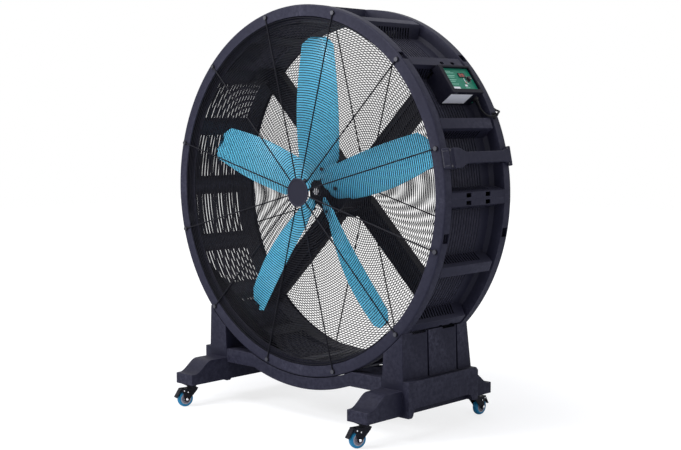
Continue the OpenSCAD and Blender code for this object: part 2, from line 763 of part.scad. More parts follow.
module cord_tube(route, n) {
    p = cord_spline(route, n);
    skin([for (i = [0 : len(p) - 1]) cord_ring(p, i)]);
}

// ---- Base ----

SUPPORT_WALL = 10;
cradle_r = drum_r + CLEAR;
bar_r = drum_r + 2;
bar_drop = 54;
support_y1 = 272;
tower_y1 = 262;
tower_out = foot_out + 5;
GROOVE_W = 11;
foot_tip_z = foot_z + 50;
foot_top_z = foot_z + 105;
block_z = 138;
post_z = 100;
CROSSBAR_BOLT_Z = [208, 235];

// Height of the top of a foot, d behind its tip
function foot_top(d) =
    let (t = max(0, min(1, (d - 20) / 100))) foot_tip_z + (foot_top_z - foot_tip_z) * t * t * (3 - 2 * t);

module feet_outline() {
    d = [0, 20, 30, 40, 50, 60, 70, 80, 90, 100, 110, 120];
    polygon(concat(
        [[-foot_y, foot_z]], [for (x = d) [x - foot_y, foot_top(x)]],
        [for (i = [len(d) - 1 : -1 : 0]) [foot_y - d[i], foot_top(d[i])]], [[foot_y, foot_z]]));
}

// Outline of the block between the feet, with its two outer posts
module block_outline() {
    y0 = -cross_front;
    y1 = support_y1;
    polygon([
        [y0, base_top], [y0, post_z], [y0 + 22, post_z], [y0 + 30, post_z + 8],
        [y0 + 38, block_z - 6], [y0 + 48, block_z], [y1 - 60, block_z], [y1 - 50, block_z - 6],
        [y1 - 40, foot_z + 3], [y1 - 30, foot_z], [y1, foot_z], [y1, base_top - 14], [y1 - 14, base_top]
    ]);
}

// Seen from the front, the tower that rises from the block to the drum
module tower_outline(inset, top) {
    polygon([
        [side_in + 2 + inset, base_top - 30], [side_in + 2 + inset, base_top],
        [side_in + 14 + inset, top], [tower_out - 8 - inset, top],
        [tower_out - inset, base_top], [tower_out - inset, base_top - 30]
    ]);
}

module tower(inset) {
    intersection() {
        slab(-cross_front + inset, tower_y1 - inset) tower_outline(inset, axis_h - 540);
        side_slab(side_in, side_out) polygon([
            [-cross_front + inset, base_top - 30], [tower_y1 - inset, base_top - 30],
            [tower_y1 - inset, base_top], [tower_y1 - 25 - inset, axis_h - 550],
            [-cross_front + inset, axis_h - 550]
        ]);
    }
}

module base_side() {
    w = SUPPORT_WALL;
    difference() {
        union() {
            side_slab(side_in, foot_out) feet_outline();
            side_slab(side_in, side_out) block_outline();
            tower(0);
        }
        at_drum() y_rod(cradle_r, -300, 300);
        // hollow under the block and the tower
        translate([side_in + w, w - cross_front, 0])
            cube([foot_out - side_in - 2 * w, support_y1 + cross_front - 2 * w, base_top - w]);
        translate([foot_out, w - cross_front + 44, 0])
            cube([side_out - foot_out - w, support_y1 + cross_front - 2 * w - 100, base_top - w]);
        difference() {
            tower(w);
            at_drum() y_rod(cradle_r + w, -300, 300);
        }
        // dips between the three lugs that carry the drum
        for (y = [[-154, -67], [47, 129]]) intersection() {
            at_drum() y_rod(drum_r + 6, y[0], y[1]);
            translate([side_in, -300, 0]) cube([200, 600, axis_h]);
        }
        // side grooves
        for (y = [-56, 141]) slab(drum_y + y - GROOVE_W / 2, drum_y + y + GROOVE_W / 2) polygon([
            [tower_out - 7, base_top - 0.5], [tower_out - 7, base_top], [tower_out - 15, axis_h - 540],
            [tower_out + 20, axis_h - 540], [tower_out + 20, base_top - 0.5]
        ]);
        // bolts into the crossbars and into the drum
        crossbar_bolts_at() cylinder(r = 4 + FIT, h = 60, center = true);
        drum_bolts_at() cylinder(r = 4 + FIT, h = 60, center = true);
    }
}

// Places of the bolts into the crossbars on one side: Z into the support, z = 0 on its inner face
module crossbar_bolts_at() {
    for (y = [bar_t / 2 - cross_front, cross_front - bar_t / 2], z = CROSSBAR_BOLT_Z)
        translate([side_in, y, z]) rotate([0, 90, 0]) children();
}

// Places of the bolts into the drum on one side: Z outwards, z = 0 on the drum
module drum_bolts_at() {
    at_drum(-DRUM_BOLT_A) for (y = DRUM_BOLT_Y)
        translate([drum_r, y, 0]) rotate([0, 90, 0]) children();
}

module base_right() {
    color([0.21, 0.21, 0.26]) base_side();
}

module base_left() {
    color([0.21, 0.21, 0.26]) mirror([1, 0, 0]) base_side();
}

module crossbar() {
    difference() {
        union() {
            translate([-side_in, 0, base_top - 64]) cube([2 * side_in, bar_t, 64]);
            intersection() {
                translate([0, 0, axis_h]) y_rod(bar_r + bar_drop, 0, bar_t);
                translate([-330, -1, 0]) cube([660, bar_t + 2, base_top - 60]);
            }
        }
        translate([0, 0, axis_h]) y_rod(bar_r, -1, bar_t + 1);
        for (m = [0, 1], z = CROSSBAR_BOLT_Z) mirror([m, 0, 0]) translate([side_in - 40, bar_t / 2, z])
            rotate([0, 90, 0]) cylinder(r = 4 + FIT, h = 41);
    }
}

module front_crossbar() {
    color([0.22, 0.22, 0.27]) translate([0, -cross_front, 0]) crossbar();
}

module rear_crossbar() {
    color([0.2, 0.2, 0.25]) translate([0, cross_front - bar_t, 0]) crossbar();
}

module base_bolts() {
    color([0.2, 0.2, 0.22]) for (m = [0, 1]) mirror([m, 0, 0]) {
        crossbar_bolts_at() {
            translate([0, 0, SUPPORT_WALL + FIT]) hex(13, 5.3);
            translate([0, 0, -36]) cylinder(r = 4, h = 37 + SUPPORT_WALL, $fn = 24);
        }
        drum_bolts_at() translate([0, 0, SUPPORT_WALL + 1]) bolt(8, SUPPORT_WALL + wall + 1.6, 13);
    }
}

// ---- Casters ----

wheel_r = wheel_d / 2;
hub_r2 = 26;
axle_r = 5;
fork_top = wheel_d + 12;
race_z = fork_top + 9;
plate_t = 4;
fork_in = tyre_w / 2 + 3.5;
FORK_T = 3;
pedal_pivot = [46, fork_top - 9];
PEDAL_PIN = 3;

// Swivel axes: front right, front left, rear right, rear left
caster_x = (side_in + foot_out) / 2;
caster_y = foot_y - caster_inset;
CASTERS = [
    [caster_x, -caster_y, 180 - front_turn], [-caster_x, -caster_y, 180 - front_turn],
    [caster_x, caster_y, 0], [-caster_x, caster_y, 0]
];

// Moves to a caster's own frame: X along the axle, Y to the wheel, Z up the swivel axis
module at_caster(k) {
    translate([CASTERS[k][0], CASTERS[k][1], 0]) rotate([0, 0, CASTERS[k][2]]) children();
}

// A round bar along X
module x_rod(r, x0, x1) {
    translate([x0, 0, 0]) rotate([0, 90, 0]) cylinder(r = r, h = x1 - x0);
}

module caster_plates() {
    color([0.1, 0.1, 0.11]) for (k = [0 : 3]) at_caster(k) {
        translate([-30, -38, foot_z - plate_t - FIT]) cube([60, 76, plate_t]);
        translate([0, 0, race_z + CLEAR]) cylinder(r = 24, h = foot_z - race_z - 1);
        translate([0, 0, fork_top - 6]) cylinder(r = 7, h = foot_z - fork_top + 3);
        translate([0, 0, fork_top - 8 - CLEAR]) cylinder(r = 11, h = 4);
    }
}

module fork_side() {
    z = wheel_r;
    side_slab(fork_in, fork_in + FORK_T) polygon([
        [-26, fork_top], [58, fork_top], [58, fork_top - 14], [trail + 16, fork_top - 22],
        [trail + 9, z - 9], [trail, z - 13], [trail - 9, z - 9], [-20, fork_top - 12]
    ]);
}

module caster_fork(k) {
    color([0.07, 0.07, 0.08]) at_caster(k) difference() {
        union() {
            for (m = [0, 1]) mirror([m, 0, 0]) fork_side();
            translate([-fork_in - FORK_T, -26, fork_top - 4]) cube([2 * (fork_in + FORK_T), 64, 4]);
            translate([0, 0, fork_top - 1]) cylinder(r = 22, h = race_z - fork_top + 1);
            // axle with its head and nut
            translate([0, trail, wheel_r]) {
                x_rod(axle_r, -fork_in - FORK_T - 5, fork_in + FORK_T + 5);
                x_rod(8, fork_in + 1, fork_in + FORK_T + 4);
                x_rod(8, -fork_in - FORK_T - 4, -fork_in - 1);
            }
            // rivet of the brake spring
            translate([0, trail - 6, fork_top - 17]) {
                x_rod(3.5, fork_in + 1, fork_in + FORK_T + 2);
                x_rod(3.5, -fork_in - FORK_T - 2, -fork_in - 1);
            }
        }
        translate([0, 0, fork_top - 10]) cylinder(r = 7 + FIT, h = 40);
        translate([0, pedal_pivot[0], pedal_pivot[1]]) x_rod(PEDAL_PIN + FIT, -40, 40);
    }
}

module caster_tyre(k) {
    r = wheel_r;
    w = tyre_w / 2;
    color([0.12, 0.5, 0.72]) at_caster(k) translate([0, trail, r]) rotate([0, 90, 0])
        rotate_extrude() polygon([
            [hub_r2 + FIT, -w + 1], [r - 7, -w], [r - 3, -w + 2], [r - 0.8, -w + 6], [r, -w + 11],
            [r, w - 11], [r - 0.8, w - 6], [r - 3, w - 2], [r - 7, w], [hub_r2 + FIT, w - 1]
        ]);
}

module wheel_hub(k) {
    color([0.55, 0.53, 0.58]) at_caster(k) translate([0, trail, wheel_r]) rotate([0, 90, 0]) difference() {
        union() {
            cylinder(r = hub_r2, h = tyre_w - 4, center = true);
            cylinder(r = 10, h = 2 * fork_in - 1, center = true);
        }
        for (s = [-1, 1]) translate([0, 0, s * tyre_w / 2]) difference() {
            cylinder(r = hub_r2 - 5, h = 12, center = true);
            cylinder(r = 10, h = 14, center = true);
        }
        cylinder(r = axle_r + FIT, h = 60, center = true);
    }
}

// Brake pedal: a plate that slopes down outside the wheel, on a pin through the fork
module brake_pedal(k) {
    y = pedal_pivot[0];
    z = pedal_pivot[1];
    w = fork_in - 1.5;
    color([0.09, 0.09, 0.1]) at_caster(k) {
        translate([0, y, z]) x_rod(PEDAL_PIN, -fork_in - FORK_T - 2, fork_in + FORK_T + 2);
        side_slab(-w, w) polygon([
            [y - 4, z - 3], [y - 4, z + 4], [y + 8, z + 8], [y + 14, z + 8],
            [y + 38, z - 31], [y + 34, z - 33], [y + 13, z + 2], [y + 4, z - 3]
        ]);
    }
}

module fork_front_right() { caster_fork(0); }
module fork_front_left() { caster_fork(1); }
module fork_rear_right() { caster_fork(2); }
module fork_rear_left() { caster_fork(3); }
module tyre_front_right() { caster_tyre(0); }
module tyre_front_left() { caster_tyre(1); }
module tyre_rear_right() { caster_tyre(2); }
module tyre_rear_left() { caster_tyre(3); }
module wheel_hub_front_right() { wheel_hub(0); }
module wheel_hub_front_left() { wheel_hub(1); }
module wheel_hub_rear_right() { wheel_hub(2); }
module wheel_hub_rear_left() { wheel_hub(3); }
module brake_pedal_front_right() { brake_pedal(0); }
module brake_pedal_front_left() { brake_pedal(1); }
module brake_pedal_rear_right() { brake_pedal(2); }
module brake_pedal_rear_left() { brake_pedal(3); }

module cord_coil() {
    color([0.06, 0.06, 0.06]) at_drum() translate(coil_c) rotate([90, 0, 0]) rotate_extrude()
        translate([coil_r, 0]) circle(r = coil_t, $fn = 24);
}

module power_cord() {
    exit = [gland_at[0], gland_at[1], box_z0 - 12];
    p = [exit[0] * cos(box_a) - exit[2] * sin(box_a), exit[1],
         exit[0] * sin(box_a) + exit[2] * cos(box_a)];
    down = [sin(box_a), 0, -cos(box_a)];
    coil_in = coil_c + coil_r * [0.707, 0, 0.707] + 46 * [0.707, 0, -0.707];
    color([0.06, 0.06, 0.06]) at_drum() {
        cord_tube(concat([p, p + 12 * down], cord_mid, [coil_in]), 5);
        cord_tube([coil_c - [coil_r, 0, 46], plug_at + [0, 0, 20], plug_at], 3);
    }
}

module power_plug() {
    color([0.06, 0.06, 0.07]) at_drum() translate(plug_at) {
        translate([0, 0, -14]) cylinder(r = 8, h = 14);
        translate([0, 0, -40]) cylinder(r = 15, h = 27);
    }
    color([0.8, 0.7, 0.4]) at_drum() translate(plug_at) {
        for (s = [-1, 1]) translate([s * 6.5 - 0.8, -3.2, -58]) cube([1.6, 6.4, 19]);
        translate([0, 9, -60]) cylinder(r = 2.4, h = 21, $fn = 24);
    }
}

// A strap on the rear flange with an arm that carries the coil
module cord_hook() {
    color([0.1, 0.1, 0.11]) at_drum() difference() {
        union() {
            translate([hook_x - HOOK_W / 2, y_back + FIT, hook_top - 16])
                cube([HOOK_W, HOOK_T, HOOK_SCREW_Z[1] - hook_top + 26]);
            translate([hook_x, 0, hook_top - 4]) {
                y_rod(4, y_back + 1, coil_c[1] + coil_t + 11);
                translate([0, coil_c[1] + coil_t + 7, 0]) cylinder(r = 4, h = 22);
            }
        }
        for (z = HOOK_SCREW_Z) translate([hook_x, 0, z]) y_rod(2.6, y_back - 1, y_back + 5);
    }
}

shroud_upper_right();
shroud_upper_left();
shroud_lower_right();
shroud_lower_left();
seam_bolts();
carry_handle();
housing_screws();
front_grille();
rear_grille();
front_badge();
grille_screws();
motor_cross();
cross_bolts();
motor_body();
motor_front_cap();
motor_stator();
motor_bearings();
motor_shaft();
motor_rotor();
blade_hub();
blade_1();
blade_2();
blade_3();
blade_4();
blade_5();
blade_bolts();
shaft_nut();
control_box();
control_panel();
speed_knob();
cord_gland();
power_cord();
cord_coil();
power_plug();
cord_hook();
base_right();
base_left();
front_crossbar();
rear_crossbar();
base_bolts();
caster_plates();
fork_front_right();
fork_front_left();
fork_rear_right();
fork_rear_left();
tyre_front_right();
tyre_front_left();
tyre_rear_right();
tyre_rear_left();
wheel_hub_front_right();
wheel_hub_front_left();
wheel_hub_rear_right();
wheel_hub_rear_left();
brake_pedal_front_right();
brake_pedal_front_left();
brake_pedal_rear_right();
brake_pedal_rear_left();
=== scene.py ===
"""Finishes and fine detail of the mobile drum fan, over its fixed frame.
Metres. X runs to the control box side, Y to the back and Z up, as in the frame."""
import bpy
import bmesh
import json
from math import radians, sin, cos, pi, hypot
from mathutils import Vector, Matrix

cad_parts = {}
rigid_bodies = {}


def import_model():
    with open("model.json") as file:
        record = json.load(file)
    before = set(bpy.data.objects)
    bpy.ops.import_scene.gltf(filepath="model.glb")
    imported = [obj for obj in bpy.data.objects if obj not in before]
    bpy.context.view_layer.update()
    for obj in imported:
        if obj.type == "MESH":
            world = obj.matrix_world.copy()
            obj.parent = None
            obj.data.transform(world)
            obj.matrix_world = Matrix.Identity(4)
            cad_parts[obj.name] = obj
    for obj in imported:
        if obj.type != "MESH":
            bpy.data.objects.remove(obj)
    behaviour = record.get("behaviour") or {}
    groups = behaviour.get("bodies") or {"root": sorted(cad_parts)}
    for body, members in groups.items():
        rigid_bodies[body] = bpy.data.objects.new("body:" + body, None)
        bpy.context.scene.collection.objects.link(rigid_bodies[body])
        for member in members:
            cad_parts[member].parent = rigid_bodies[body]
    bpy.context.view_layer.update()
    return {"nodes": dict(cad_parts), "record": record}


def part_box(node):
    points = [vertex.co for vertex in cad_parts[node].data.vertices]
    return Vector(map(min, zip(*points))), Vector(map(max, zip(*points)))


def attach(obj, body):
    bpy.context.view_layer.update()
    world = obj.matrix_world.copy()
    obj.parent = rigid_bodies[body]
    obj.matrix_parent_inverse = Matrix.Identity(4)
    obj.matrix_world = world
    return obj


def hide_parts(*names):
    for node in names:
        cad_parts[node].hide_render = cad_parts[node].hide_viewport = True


for leftover in list(bpy.data.objects):
    bpy.data.objects.remove(leftover)

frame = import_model()
NODES = frame["nodes"]
BODY_OF = {n: b for b, members in frame["record"]["behaviour"]["bodies"].items() for n in members}
FIXED = "drum_and_base"
CASTERS = ["front_right", "front_left", "rear_right", "rear_left"]

# ---- Places, in metres; angles round the drum count up from the right, in degrees ----
AXIS = Vector((0, 0.022, 1.018))
DRUM_R = 0.825
BOX_A = 36
HANDLE_A = 11.7
CASTER_X = 0.5465
CASTER_Y = 0.375
FRONT_TURN = 164  # how far the front casters are turned


def drum_place(angle=0.0):
    """The drum's frame turned by an angle: X out, Y back, Z round."""
    return Matrix.Translation(AXIS) @ Matrix.Rotation(radians(-angle), 4, "Y")


def caster_place(name):
    """A caster's frame on the floor: the front ones are turned, the rear ones stand straight."""
    x = CASTER_X * (1 if name.endswith("right") else -1)
    front = name.startswith("front")
    return (Matrix.Translation((x, -CASTER_Y if front else CASTER_Y, 0))
            @ Matrix.Rotation(radians(FRONT_TURN if front else 0), 4, "Z"))


# ---- Camera ----
EYE_AT = (3.9487, -4.1384, 1.3595)
EYE_DOWN, EYE_ROLL, EYE_TURN = 4.991, 0.02, 43.204

eye = bpy.data.cameras.new("camera")
eye.lens = 66.5
eye.sensor_width = 36
eye.clip_end = 60
camera = bpy.data.objects.new("camera", eye)
camera.location = EYE_AT
camera.rotation_euler = (radians(90 - EYE_DOWN), radians(EYE_ROLL), radians(EYE_TURN))
bpy.context.scene.collection.objects.link(camera)
bpy.context.scene.camera = camera


# ---- Node groups that the finishes share ----

def add(tree, kind, props=None, **values):
    """A node of that kind, its inputs given by name, or by number after an underscore.
    A value is a number, a colour or another node's output."""
    n = tree.nodes.new(kind)
    for k, v in (props or {}).items():
        setattr(n, k, v)
    for k, v in values.items():
        socket = n.inputs[int(k[1:])] if k[0] == "_" else n.inputs[k.replace("_", " ")]
        if isinstance(v, bpy.types.NodeSocket):
            tree.links.new(v, socket)
        else:
            socket.default_value = v
    return n


def ramp(tree, fac, stops):
    """A colour ramp through (position, shade or colour) stops."""
    n = add(tree, "ShaderNodeValToRGB", _0=fac)
    cr = n.color_ramp
    while len(cr.elements) < len(stops):
        cr.elements.new(0.5)
    for e, (at, v) in zip(cr.elements, stops):
        e.position = at
        e.color = (v, v, v, 1) if isinstance(v, (int, float)) else (*v, 1)
    return n.outputs[0]


def math(tree, op, a, b=0.0, clamp=False):
    """The output of one step of arithmetic."""
    return add(tree, "ShaderNodeMath", {"operation": op, "use_clamp": clamp}, _0=a, _1=b).outputs[0]


def mix(tree, fac, a, b):
    """A colour between two others."""
    return add(tree, "ShaderNodeMix", {"data_type": "RGBA"}, _0=fac, _6=a, _7=b).outputs[2]


def mix_value(tree, fac, a, b):
    """A number between two others."""
    return add(tree, "ShaderNodeMix", {"data_type": "FLOAT"}, _0=fac, _2=a, _3=b).outputs[0]


def scaled(tree, color, factor):
    """A colour made brighter or darker."""
    return add(tree, "ShaderNodeVectorMath", {"operation": "SCALE"}, _0=color, Scale=factor).outputs[0]


def stretched(tree, at, scale):
    """A place whose axes are scaled, so that a noise on it runs in streaks."""
    return add(tree, "ShaderNodeMapping", Vector=at, Scale=scale).outputs[0]


def centred(tree, value, factor):
    """How far a noise lies above or below its middle, times a factor."""
    return math(tree, "MULTIPLY", math(tree, "SUBTRACT", value, 0.5), factor)


def faded(tree, value, limits):
    """Nought below the first limit, one above the second."""
    return add(tree, "ShaderNodeMapRange", Value=value, From_Min=limits[0], From_Max=limits[1]).outputs[0]


def span(tree, a, b):
    """The distance from the origin to (a, b)."""
    return math(tree, "SQRT", math(tree, "ADD", math(tree, "MULTIPLY", a, a), math(tree, "MULTIPLY", b, b)))


def group(name, inputs, outputs):
    """A new shader group with (name, type, default) inputs and (name, type) outputs."""
    g = bpy.data.node_groups.new(name, "ShaderNodeTree")
    for n, kind, v in inputs:
        s = g.interface.new_socket(n, in_out="INPUT", socket_type="NodeSocket" + kind)
        s.default_value = v
    for n, kind in outputs:
        g.interface.new_socket(n, in_out="OUTPUT", socket_type="NodeSocket" + kind)
    return g, g.nodes.new("NodeGroupInput").outputs, g.nodes.new("NodeGroupOutput").inputs


def noise(tree, at, scale, detail=2.0, rough=0.5):
    """A soft random pattern from 0 to 1, that a place fixes."""
    n = add(tree, "ShaderNodeTexNoise", Vector=at, Scale=scale, Detail=detail, Roughness=rough)
    return n.outputs["Fac"]


def moulded_grain():
    """Fine spark-eroded grain of a moulding, with slow changes of shade over the piece."""
    g, i, o = group("Moulded grain",
                    [("Color", "Color", (0.05, 0.05, 0.06, 1)), ("Roughness", "Float", 0.5),
                     ("Grain size", "Float", 900.0), ("Mottle", "Float", 0.12)],
                    [("Color", "Color"), ("Roughness", "Float"), ("Height", "Float")])
    at = add(g, "ShaderNodeTexCoord").outputs["Object"]
    fine = noise(g, at, i["Grain size"], 3.0, 0.6)
    slow = noise(g, at, 5.0, 3.0)
    streak = noise(g, stretched(g, at, (3, 40, 3)), 2.0, 2.0)
    shade = math(g, "ADD", centred(g, slow, i["Mottle"]), 1.0)
    shade = math(g, "ADD", shade, centred(g, fine, 0.10))
    g.links.new(scaled(g, i["Color"], shade), o["Color"])
    rough = math(g, "ADD", i["Roughness"], centred(g, streak, 0.10))
    rough = math(g, "ADD", rough, centred(g, fine, 0.12), True)
    g.links.new(rough, o["Roughness"])
    g.links.new(fine, o["Height"])
    return g


def rubbed_and_lit_edges():
    """Paler edges, partly rubbed and partly a painted highlight, and painted shade darkening the inner
    corners.
    """
    g, i, o = group("Rubbed and lit edges",
                    [("Color", "Color", (0.05, 0.05, 0.06, 1)), ("Worn color", "Color", (0.2, 0.2, 0.22, 1)),
                     ("Amount", "Float", 0.5)],
                    [("Color", "Color"), ("Mask", "Float")])
    point = add(g, "ShaderNodeNewGeometry").outputs["Pointiness"]
    at = add(g, "ShaderNodeTexCoord").outputs["Object"]
    breakup = ramp(g, noise(g, at, 60.0, 4.0, 0.65), [(0.38, 0.15), (0.66, 1.0)])
    # Sharp edges turn paler: partly rubbing, partly a painted highlight.
    edge = ramp(g, point, [(0.51, 0.0), (0.60, 1.0)])
    mask = math(g, "MULTIPLY", math(g, "MULTIPLY", edge, breakup), i["Amount"], True)
    # Painted shade: concave inner corners are darkened.
    inner = ramp(g, point, [(0.40, 0.55), (0.49, 1.0)])
    g.links.new(mix(g, mask, scaled(g, i["Color"], inner), i["Worn color"]), o["Color"])
    g.links.new(mask, o["Mask"])
    return g


def settled_dust():
    """Thin dust on faces that look up."""
    g, i, o = group("Settled dust",
                    [("Color", "Color", (0.05, 0.05, 0.06, 1)), ("Roughness", "Float", 0.5),
                     ("Amount", "Float", 0.1)],
                    [("Color", "Color"), ("Roughness", "Float")])
    geo = add(g, "ShaderNodeNewGeometry")
    up = add(g, "ShaderNodeSeparateXYZ", _0=geo.outputs["Normal"]).outputs["Z"]
    at = add(g, "ShaderNodeTexCoord").outputs["Object"]
    patch = ramp(g, noise(g, at, 14.0, 5.0, 0.6), [(0.35, 0.2), (0.7, 1.0)])
    mask = math(g, "MULTIPLY", math(g, "MULTIPLY", ramp(g, up, [(0.5, 0.0), (0.95, 1.0)]), patch),
                i["Amount"], True)
    g.links.new(mix(g, mask, i["Color"], (0.30, 0.29, 0.28, 1)), o["Color"])
    rough = math(g, "ADD", i["Roughness"], math(g, "MULTIPLY", mask, 0.4), True)
    g.links.new(rough, o["Roughness"])
    return g


# Radii and depths over which the painted shade of the pockets and the drum's inside fades out
DEPTH_FADE = (DRUM_R - 0.045, DRUM_R - 0.004)  # from the pockets' floors to the skin
INSIDE_FADE = (DRUM_R - 0.068, DRUM_R - 0.062)  # from the drum's inside to the pockets
RIM_FADE = (0.2215, 0.2235)  # from the skin to the front and back rims


def pocket_shade():
    """Painted shade deep in the drum's side pockets, their slots and inside the drum, with slow streaks of
    random tone.
    """
    g, i, o = group("Pocket shade",
                    [("Color", "Color", (0.05, 0.05, 0.06, 1)), ("Floor shade", "Float", 0.35),
                     ("Inner shade", "Float", 0.3)],
                    [("Color", "Color")])
    at = add(g, "ShaderNodeTexCoord").outputs["Object"]
    from_axis = add(g, "ShaderNodeMapping", Vector=at, Location=tuple(-AXIS)).outputs[0]
    xyz = add(g, "ShaderNodeSeparateXYZ", _0=from_axis).outputs
    radius = span(g, xyz["X"], xyz["Z"])
    tone = mix_value(g, faded(g, radius, INSIDE_FADE), i["Inner shade"], i["Floor shade"])
    tone = mix_value(g, faded(g, radius, DEPTH_FADE), tone, 1.0)
    tone = mix_value(g, faded(g, math(g, "ABSOLUTE", xyz["Y"]), RIM_FADE), tone, 1.0)
    streak = noise(g, stretched(g, at, (9, 2, 9)), 2.0, 3.0)
    tone = math(g, "MULTIPLY", tone, math(g, "ADD", math(g, "MULTIPLY", streak, 0.3), 0.85))
    g.links.new(scaled(g, i["Color"], tone), o["Color"])
    return g


def brushed():
    """Fine turning marks on bare metal."""
    g, i, o = group("Brushed metal", [("Color", "Color", (0.6, 0.6, 0.62, 1)), ("Roughness", "Float", 0.3)],
                    [("Color", "Color"), ("Roughness", "Float"), ("Height", "Float")])
    at = add(g, "ShaderNodeTexCoord").outputs["Object"]
    lines = noise(g, stretched(g, at, (60, 1500, 60)), 1.0, 3.0)
    tone = math(g, "ADD", math(g, "MULTIPLY", lines, 0.3), 0.85)
    g.links.new(scaled(g, i["Color"], tone), o["Color"])
    rough = math(g, "ADD", i["Roughness"], centred(g, lines, 0.25), True)
    g.links.new(rough, o["Roughness"])
    g.links.new(lines, o["Height"])
    return g


GRAIN = moulded_grain()
RUBBED_AND_LIT_EDGES = rubbed_and_lit_edges()
DUST = settled_dust()
BRUSHED = brushed()
POCKET_SHADE = pocket_shade()


def material(name):
    """A new material, its tree and its shader."""
    m = bpy.data.materials.new(name)
    m.use_nodes = True
    t = m.node_tree
    return m, t, t.nodes["Principled BSDF"]


def use(tree, g, **values):
    """The outputs of a shared group put into a material."""
    return add(tree, "ShaderNodeGroup", {"node_tree": g}, **values).outputs


def bump(tree, shader, height, strength, distance):
    """Fine relief of the surface, its distance in metres."""
    n = add(tree, "ShaderNodeBump", Strength=strength, Distance=distance, Height=height)
    tree.links.new(n.outputs[0], shader.inputs["Normal"])


def plastic(name, color, rough, worn, rubbed_lit_edge_amount=0.5, grain=900.0, depth=0.00012, mottle=0.12, dust=0.10,
            coat=0.0, shine=0.25, pocket_shade_levels=None):
    """A grained finish with paler edges, partly rubbed and partly a painted highlight, painted shade in
    inner corners and thin dust; the shade levels, when given, paint shade into the drum's side pockets and
    inside.
    """
    m, t, s = material(name)
    g = use(t, GRAIN, Color=(*color, 1), Roughness=rough, Grain_size=grain, Mottle=mottle)
    tint = g["Color"]
    # Painted shade in the drum's side pockets and inside, when asked for.
    if pocket_shade_levels:
        tint = use(t, POCKET_SHADE, Color=tint, Floor_shade=pocket_shade_levels[0], Inner_shade=pocket_shade_levels[1])["Color"]
    # Paler edges, partly rubbing and partly a painted highlight, and painted shade in inner corners.
    w = use(t, RUBBED_AND_LIT_EDGES, Color=tint, Worn_color=(*worn, 1), Amount=rubbed_lit_edge_amount)
    d = use(t, DUST, Color=w["Color"], Roughness=g["Roughness"], Amount=dust)
    t.links.new(d["Color"], s.inputs["Base Color"])
    t.links.new(d["Roughness"], s.inputs["Roughness"])
    s.inputs["Specular IOR Level"].default_value = shine
    s.inputs["Coat Weight"].default_value = coat
    bump(t, s, g["Height"], 0.35, depth)
    return m


def metal(name, color, rough, bright=1.0):
    """Turned metal with paler edges, partly rubbed and partly a painted highlight, and painted shade in
    inner corners.
    """
    m, t, s = material(name)
    b = use(t, BRUSHED, Color=(*color, 1), Roughness=rough)
    w = use(t, RUBBED_AND_LIT_EDGES, Color=b["Color"], Worn_color=(*[min(1, c * 1.3) for c in color], 1), Amount=0.6)
    t.links.new(w["Color"], s.inputs["Base Color"])
    t.links.new(b["Roughness"], s.inputs["Roughness"])
    s.inputs["Metallic"].default_value = bright
    bump(t, s, b["Height"], 0.2, 0.00005)
    return m


FINISH = {
    # The drum plastic carries painted shade in its side pockets, their slots and inside the drum.
    "drum_plastic": plastic("drum plastic", (0.012, 0.012, 0.024), 0.54, (0.05, 0.05, 0.075), 0.7, dust=0.02,
                            shine=0.11, pocket_shade_levels=(0.75, 0.45)),
    "base_plastic": plastic("base plastic", (0.009, 0.009, 0.019), 0.56, (0.05, 0.05, 0.075), 0.7, dust=0.02,
                            shine=0.10),
    "black_steel": plastic("black powder coat", (0.004, 0.004, 0.007), 0.48, (0.03, 0.03, 0.04), 0.3,
                           grain=1600.0, depth=0.00006, dust=0.02, shine=0.10),
    "dark_bolts": metal("black oxide", (0.05, 0.05, 0.06), 0.42, 0.7),
    "motor_black": plastic("motor enamel", (0.012, 0.012, 0.018), 0.40, (0.09, 0.09, 0.10), 0.4,
                           grain=500.0, depth=0.0001, shine=0.3),
    "bright_steel": metal("ground steel", (0.72, 0.72, 0.74), 0.26),
    "blade_blue": plastic("blade blue", (0.105, 0.520, 0.760), 0.40, (0.40, 0.75, 0.90), 0.2,
                          grain=700.0, depth=0.00004, mottle=0.06, dust=0.02, coat=0.1, shine=0.4),
    "box_plastic": plastic("box plastic", (0.003, 0.003, 0.008), 0.50, (0.02, 0.02, 0.03), 0.35,
                           dust=0.02, shine=0.10),
    "panel_green": plastic("panel green", (0.004, 0.130, 0.080), 0.42, (0.05, 0.30, 0.20), 0.1,
                           grain=1400.0, depth=0.00003, mottle=0.06, dust=0.02),
    "knob_black": plastic("knob black", (0.008, 0.008, 0.010), 0.42, (0.05, 0.05, 0.05), 0.4),
    "cord_black": plastic("cord rubber", (0.003, 0.003, 0.005), 0.58, (0.02, 0.02, 0.02), 0.1,
                          grain=1200.0, depth=0.00006, shine=0.12),
    "tyre_blue": plastic("tyre blue", (0.003, 0.140, 0.280), 0.42, (0.08, 0.34, 0.55), 0.3,
                         grain=600.0, depth=0.0001, mottle=0.25, dust=0.15),
    "hub_grey": plastic("hub grey", (0.25, 0.23, 0.27), 0.45, (0.45, 0.45, 0.48), 0.3),
}
BADGE = plastic("badge disc", (0.018, 0.018, 0.030), 0.6, (0.06, 0.06, 0.08), 0.2, depth=0.00004,
                mottle=0.04, shine=0.08)
INSERT = plastic("handle end insert", (0.022, 0.022, 0.036), 0.50, (0.12, 0.12, 0.14), 0.4)
LABEL = plastic("blank label", (0.62, 0.63, 0.68), 0.40, (0.75, 0.75, 0.78), 0.1, depth=0.00002,
                mottle=0.05)
PALE = plastic("pale print", (0.34, 0.62, 0.52), 0.45, (0.5, 0.7, 0.6), 0.1, depth=0.00002, mottle=0.04)
SCREEN = plastic("display screen", (0.004, 0.003, 0.003), 0.10, (0.01, 0.01, 0.01), 0.0, depth=0.000005,
                 mottle=0.0, dust=0.0, shine=0.5)
